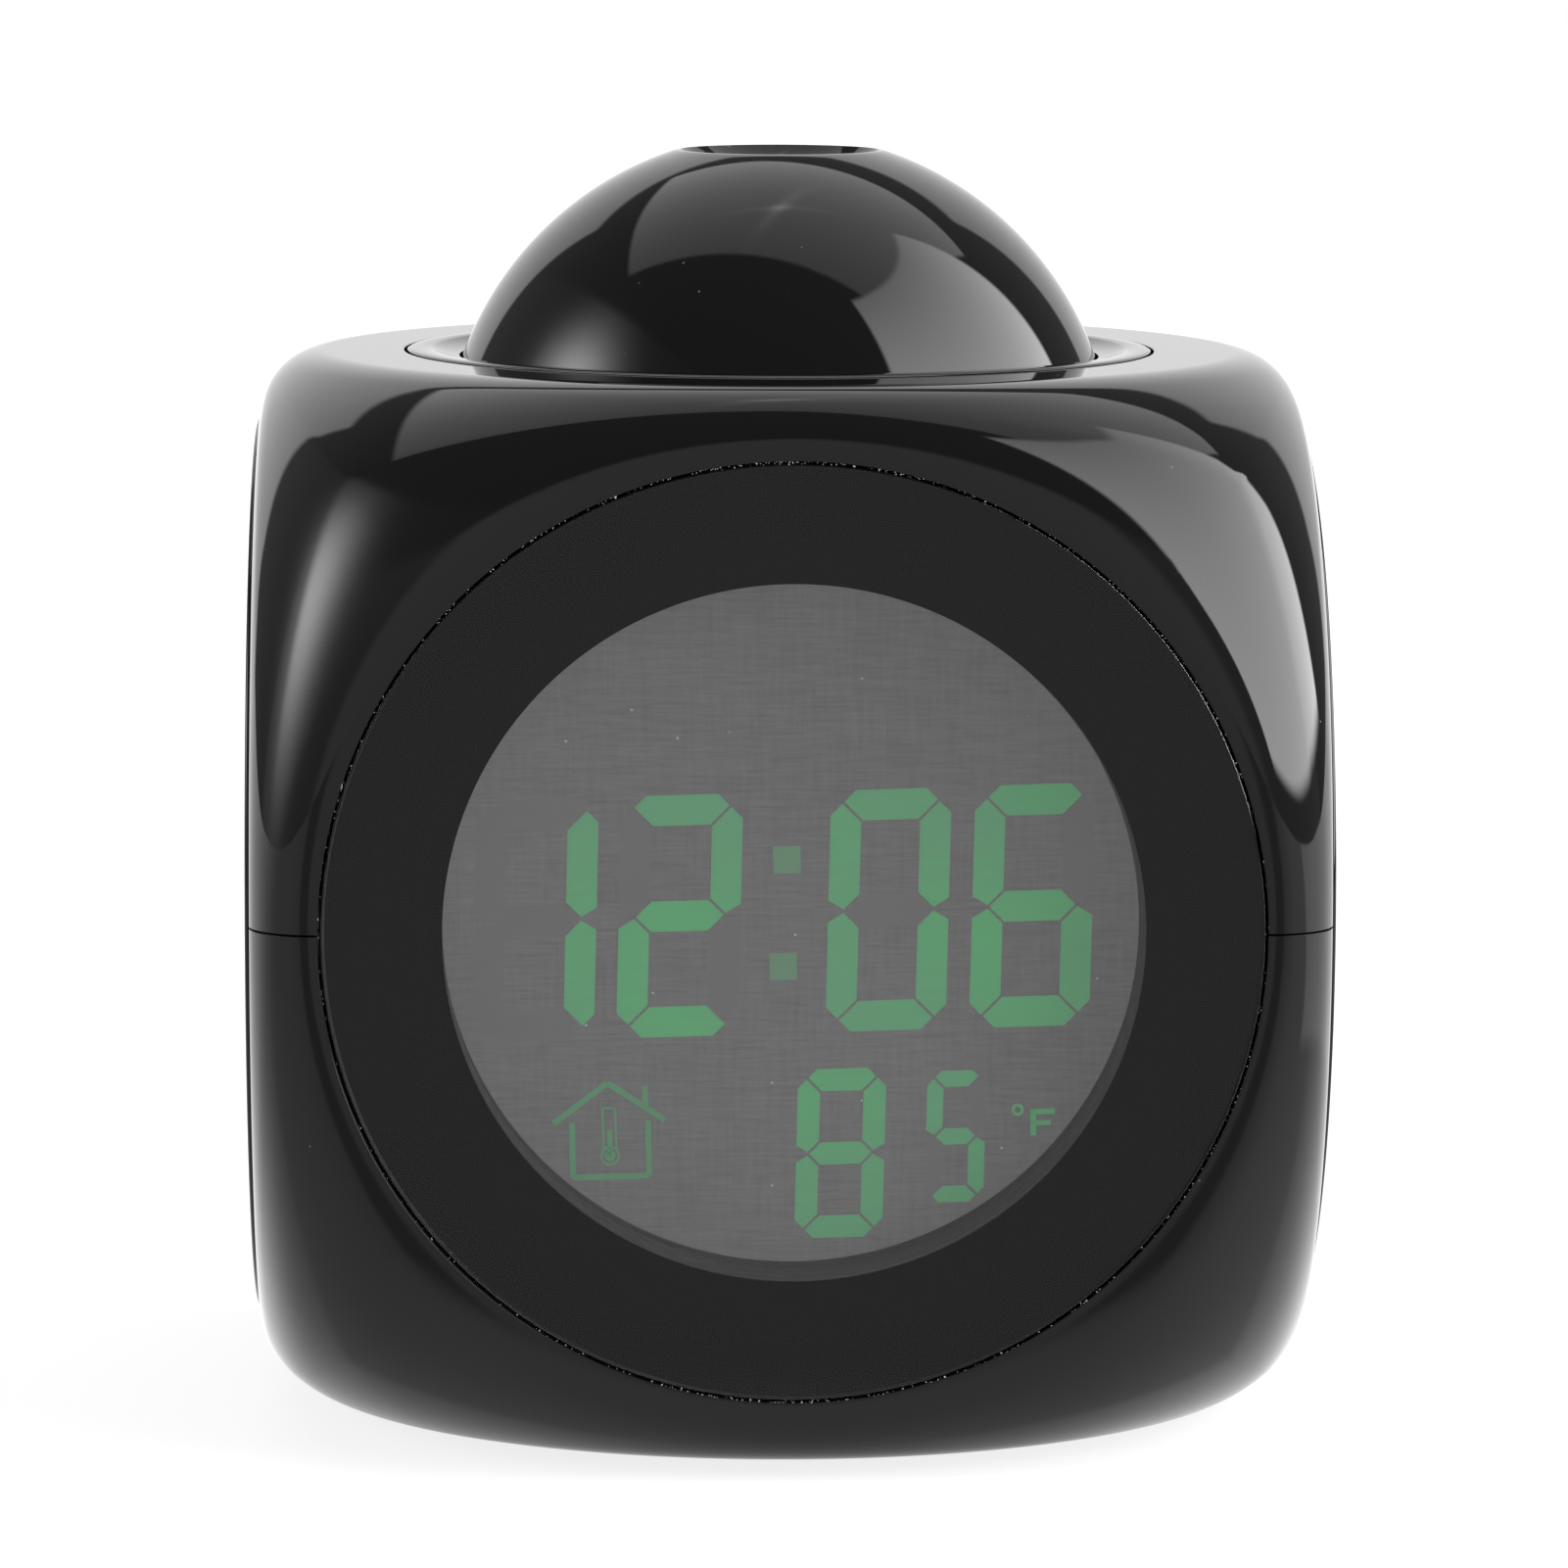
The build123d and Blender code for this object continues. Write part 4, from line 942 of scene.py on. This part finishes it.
def addCapSprings(spec):
    low, high = nodeBox("press_springs")
    coil, wire = spec["coil"], spec["wire"]
    reach = (high.y - coil - wire) / math.sin(math.radians(spec["angles"][0]))
    steps = spec["turnSteps"] * spec["turns"]
    rise = (high.z - low.z - 2 * wire) / steps
    bm = bmesh.new()
    for angle in spec["angles"]:
        place = Matrix.Rotation(math.radians(angle), 4, "Z") @ Matrix.Translation((reach, 0, low.z + wire))
        start = place @ Matrix.Translation((coil, 0, 0)) @ Matrix.Rotation(math.pi / 2, 4, "X")
        ring = bmesh.ops.create_circle(bm, segments=spec["sides"], radius=wire, matrix=start)["verts"]
        edges = list({edge for vert in ring for edge in vert.link_edges})
        bmesh.ops.spin(bm, geom=ring + edges, cent=place.translation, axis=(0, 0, 1), dvec=(0, 0, rise),
                       angle=2 * math.pi * spec["turns"], steps=steps)
    bmesh.ops.holes_fill(bm, edges=[edge for edge in bm.edges if edge.is_boundary], sides=0)
    bmesh.ops.recalc_face_normals(bm, faces=bm.faces)
    piece = finishPiece("cap_springs", bm, finish["spring_steel"], "case")
    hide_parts("press_springs")
    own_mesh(piece)


addCapSprings(capSprings)
print("ball and collar done")


# round pieces in the side openings
sideRing = {
    "outer": 34.4, "width": 3.0, "round": 0.3, "ledge": 1.8, "ledgeThickness": 1.2, "ledgeTop": 38.15,
    "low": 34.5, "groove": (33.2, 35.6, 36.8),
}


def addSideRing(name, side, spec):
    top = nodeBox(name)[1].x if side == "right" else -nodeBox(name)[0].x
    inner = spec["outer"] - spec["width"]
    floor, grooveLow, grooveHigh = spec["groove"]
    ledgeLow = spec["ledgeTop"] - spec["ledgeThickness"]
    outline = softCorners([
        (inner, top, spec["round"]), (spec["outer"], top, spec["round"]), (spec["outer"], grooveHigh),
        (floor, grooveHigh), (floor, grooveLow), (spec["outer"], grooveLow), (spec["outer"], spec["low"]),
        (inner, spec["low"]), (inner, ledgeLow), (inner - spec["ledge"], ledgeLow),
        (inner - spec["ledge"], spec["ledgeTop"]), (inner, spec["ledgeTop"]),
    ])
    bm = turned(spun(outline), upright @ faceTurns[side])
    piece = finishPiece(side + "_trim_ring", bm, finish["gloss_black"], "case", sharp=30)
    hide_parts(name)


addSideRing("left_ring", "left", sideRing)
addSideRing("right_ring", "right", sideRing)

frontDisc = {
    "radius": 34.46, "back": 37.9, "round": 0.28, "backRound": 0.04,
    # inner and outer radius, back and front
    "mask": (25.66, 34.2, 37.7, 37.95), "maskShift": (0.1, 0, -0.1),
    # thin frame round the display glass
    "frame": (25.7, 26.6, 32.63, 33.1), "frameShift": (0, 0, 0.46),
}


def addFlatRing(name, edges, shift, material):
    inner, outer, back, front = edges
    ring = [(inner, back), (outer, back), (outer, front), (inner, front)]
    bm = turned(spun(ring), Matrix.Translation(shift) @ upright @ faceTurns["front"])
    return finishPiece(name, bm, material, "case", sharp=35)


def addFrontDisc(spec):
    outline = [(0, spec["back"]), (spec["radius"], spec["back"], spec["backRound"]),
               (spec["radius"], half, spec["round"]), (0, half)]
    bm = turned(spun(softCorners(outline)), upright @ faceTurns["front"])
    piece = finishPiece("window_disc", bm, finish["clear_lens"], "case", sharp=35)
    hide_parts("front_lens")
    piece = addFlatRing("printed_ring", spec["mask"], spec["maskShift"], printInk)
    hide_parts("lens_mask")
    addFlatRing("display_frame", spec["frame"], spec["frameShift"], frameInk)


addFrontDisc(frontDisc)
print("side rings and front disc done")


# display: digits and pictures a hair in front of the glass
display = {
    "front": -nodeBox("lcd_panel")[0].y,
    "ink": 0.03,
    "unlitInk": 0.012,
    "roll": 1.6,            # whole display, degrees anticlockwise
    "slant": 2.8,
    "tip": 0.38,            # where a segment's point lies across its width
    "gap": 0.14,
}
digits = [
    # character, middle across and up from the window's middle, width, height, segment width, mm
    ("1", (-18.75, 0.75), 8.95, 17.9, 2.25),
    ("2", (-8.16, 0.75), 8.95, 17.9, 2.25),
    ("0", (7.18, 0.75), 8.85, 17.9, 2.25),
    ("6", (17.77, 0.77), 8.85, 17.95, 2.25),
    ("8", (3.21, -17.24), 6.5, 12.6, 1.65),
    ("5", (11.73, -16.24), 4.35, 9.8, 1.2),
]
segmentsOf = {"0": "abcdef", "1": "bc", "2": "abged", "5": "afgcd", "6": "afgedc", "8": "abcdefg"}
colonDots = {"middles": ((-0.18, 4.68), (-0.66, -3.22)), "reach": 1}
unitMark = {
    "ring": (16.36, -14.4, 0.45, 0.24),
    "strokes": (((17.5, -14.4), (17.5, -16.35), 0.42), ((17.3, -14.58), (19.1, -14.58), 0.4),
                ((17.3, -15.42), (18.8, -15.42), 0.36)),
}


def segmentOutlines(width, height, thick, spec):
    # the seven segments about the digit's middle, before the slant
    w, h, t, g = width / 2, height / 2, thick, spec["gap"]
    tip = spec["tip"] * t
    rest = t - tip
    bar = [(-w + tip + g, h - tip), (-w + 2 * tip + g, h), (w - 2 * tip - g, h), (w - tip - g, h - tip),
           (w - tip - rest - g, h - t), (-w + tip + rest + g, h - t)]
    post = [(w - tip, h - tip - g), (w, h - 2 * tip - g), (w, t / 2 + g - 0.2 * t), (w - t / 2, g),
            (w - t, t / 2 + g), (w - t, h - tip - rest - g)]
    centre = [(-w + t / 2 + g, 0), (-w + t + g, t / 2), (w - t - g, t / 2), (w - t / 2 - g, 0),
              (w - t - g, -t / 2), (-w + t + g, -t / 2)]
    return {
        "a": bar,
        "b": post,
        "c": [(x, -z) for x, z in post],
        "d": [(x, -z) for x, z in bar],
        "e": [(-x, -z) for x, z in post],
        "f": [(-x, z) for x, z in post],
        "g": centre,
    }


def displayPoint(x, z, spec):
    roll = math.radians(spec["roll"])
    return (x * math.cos(roll) - z * math.sin(roll), x * math.sin(roll) + z * math.cos(roll))


def raisedPlate(bm, corners, shift):
    face = bm.faces.new([bm.verts.new(corner) for corner in corners])
    raised = bmesh.ops.extrude_face_region(bm, geom=[face])
    moved = [item for item in raised["geom"] if isinstance(item, bmesh.types.BMVert)]
    bmesh.ops.translate(bm, verts=moved, vec=shift)


def inkPlates(name, outlines, material, spec):
    bm = bmesh.new()
    for outline in outlines:
        corners = []
        for x, z in outline:
            across, up = displayPoint(x, z, spec)
            corners.append((across, -spec["front"] - spec["ink"], centreZ + up))
        raisedPlate(bm, corners, (0, spec["ink"] * 0.9, 0))
    bmesh.ops.recalc_face_normals(bm, faces=bm.faces)
    finishPiece(name, bm, material, "case", smooth=False)


def discOutline(x, z, radius, count=28):
    turns = [2 * math.pi * step / count for step in range(count)]
    return [(x + radius * math.cos(a), z + radius * math.sin(a)) for a in turns]


def strokeOutline(start, end, width):
    a, b = Vector(start), Vector(end)
    side = Vector((b.y - a.y, a.x - b.x)).normalized() * width / 2
    return [tuple(a + side), tuple(a - side), tuple(b - side), tuple(b + side)]


def ringQuads(x, z, outer, inner, count=28):
    quads = []
    for step in range(count):
        pair = [2 * math.pi * (step + k) / count for k in (0, 1)]
        points = [(x + r * math.cos(a), z + r * math.sin(a)) for r, a in
                  ((outer, pair[0]), (outer, pair[1]), (inner, pair[1]), (inner, pair[0]))]
        quads.append(points)
    return quads


pictogram = {
    "apex": (-13.8, -11.5), "eaves": ((-17.85, -14.4), (-9.65, -14.4)), "chimney": (-11.05, -11.8, -13.3),
    "walls": (-16.5, -10.9, -14.4, -18.5), "stroke": 0.42, "tube": (-13.75, -13.4, -16.4), "tubeWidth": 0.95,
    "bulb": (-13.75, -16.95, 0.72), "level": -15.0, "thin": 0.16, "column": 0.34, "core": 0.55,
}


def pictogramOutlines(spec):
    width = spec["stroke"]
    left, right, top, bottom = spec["walls"]
    lines = [(spec["apex"], spec["eaves"][0]), (spec["apex"], spec["eaves"][1])]
    x, high, low = spec["chimney"]
    lines.append(((x, high), (x, low)))
    lines += [((left, top), (left, bottom)), ((right, top), (right, bottom)),
              ((left, bottom), (right, bottom))]
    outlines = [strokeOutline(a, b, width) for a, b in lines]
    tubeX, tubeTop, tubeLow = spec["tube"]
    reach = spec["tubeWidth"] / 2
    thin = spec["thin"]
    for side in (-1, 1):
        outlines.append(strokeOutline((tubeX + side * reach, tubeTop), (tubeX + side * reach, tubeLow), thin))
    outlines.append(strokeOutline((tubeX - reach, tubeTop), (tubeX + reach, tubeTop), thin))
    x, z, radius = spec["bulb"]
    outlines.append(strokeOutline((tubeX, spec["level"]), (tubeX, z), spec["column"]))
    outlines += ringQuads(x, z, radius, radius - thin)
    outlines.append(discOutline(x, z, radius * spec["core"]))
    return outlines


def slanted(points, middle, spec):
    lean = math.tan(math.radians(spec["slant"]))
    return [(middle[0] + x + z * lean, middle[1] + z) for x, z in points]


def addDisplay(spec):
    ink = glowingInk("inkGreen", (0.05, 0.147, 0.075), (0.044, 0.167, 0.071))
    faint = glowingInk("inkPale", (0.056, 0.112, 0.068), (0.054, 0.104, 0.065))
    line = glowingInk("inkLine", (0.045, 0.122, 0.064), (0.043, 0.114, 0.06))
    ghost = glowingInk("inkOff", (0.063, 0.0625, 0.064), (0.0615, 0.061, 0.0625))
    lit = []
    unlit = []
    for character, middle, width, height, thick in digits:
        for letter, outline in segmentOutlines(width, height, thick, spec).items():
            target = lit if letter in segmentsOf[character] else unlit
            target.append(slanted(outline, middle, spec))
    inkPlates("display_digits", lit, ink, spec)
    inkPlates("display_unlit", unlit, ghost, dict(spec, ink=spec["unlitInk"]))
    reach = colonDots["reach"]
    square = ((-reach, -reach), (reach, -reach), (reach, reach), (-reach, reach))
    dots = [[(x + dx, z + dz) for dx, dz in square] for x, z in colonDots["middles"]]
    inkPlates("display_colon", dots, faint, spec)
    unit = ringQuads(*unitMark["ring"]) + [strokeOutline(*stroke) for stroke in unitMark["strokes"]]
    inkPlates("display_unit", unit, ink, spec)
    inkPlates("display_pictogram", pictogramOutlines(pictogram), line, spec)


addDisplay(display)
print("display done")


# dust caught in the seam round the front disc
seamDust = {
    "seed": 11, "radius": 34.53, "spread": 0.06, "size": (0.02, 0.052), "bigShare": 0.08, "big": 1.7,
    "sunk": 0.05,
    # angle from the right-hand side, degrees anticlockwise, and how many specks lie between
    "arcs": [((74, 102), 110), ((102, 140), 60), ((30, 74), 60), ((140, 215), 40), ((240, 300), 110),
             ((300, 345), 60), ((215, 240), 14), ((-15, 30), 24)],
}


def addSeamDust(spec):
    rng = random.Random(spec["seed"])
    bm = bmesh.new()
    for (low, high), count in spec["arcs"]:
        for _ in range(count):
            angle = math.radians(rng.uniform(low, high))
            r = spec["radius"] + rng.gauss(0, spec["spread"])
            size = rng.uniform(*spec["size"]) * (1.0 if rng.random() > spec["bigShare"] else spec["big"])
            place = Matrix.Translation((r * math.cos(angle), r * math.sin(angle), half - spec["sunk"]))
            wide, deep = rng.uniform(0.6, 1.8), rng.uniform(0.5, 1.0)
            shape = Matrix.Diagonal((size * wide, size * deep, size * 0.5, 1))
            matrix = place @ Matrix.Rotation(rng.uniform(0, 3.1), 4, "Z") @ shape
            bmesh.ops.create_icosphere(bm, subdivisions=1, radius=1.0, matrix=matrix)
    turned(bm, upright @ faceTurns["front"])
    dust = coloured("dust", (0.6, 0.59, 0.57), 0.7)
    finishPiece("seam_dust", bm, dust, "case")


addSeamDust(seamDust)


# raised marks on the set keys
keyMark = {"height": 0.07, "size": 1.5, "bar": 0.42}


def addKeyMarks(spec):
    marks = {
        "key_up": ("up_key", [(-1.0, -0.7), (1.0, -0.7), (0, 0.9)]),
        "key_down": ("down_key", [(-1.0, 0.7), (0, -0.9), (1.0, 0.7)]),
        "key_mode": ("mode_key", discOutline(0, 0, 0.55)),
        "key_set": ("set_key", strokeOutline((-0.9, 0), (0.9, 0), spec["bar"])),
    }
    pale = coloured("markGrey", (0.3, 0.3, 0.3), 0.5)
    for name, (body, outline) in marks.items():
        low, high = nodeBox(name)
        middleY = (low.y + high.y) / 2
        middleZ = (low.z + high.z) / 2
        bm = bmesh.new()
        corners = [(low.x, middleY - x * spec["size"], middleZ + z * spec["size"]) for x, z in outline]
        raisedPlate(bm, corners, (-spec["height"], 0, 0))
        bmesh.ops.recalc_face_normals(bm, faces=bm.faces)
        finishPiece(name + "_mark", bm, pale, body, smooth=False)


addKeyMarks(keyMark)
print("small details done")
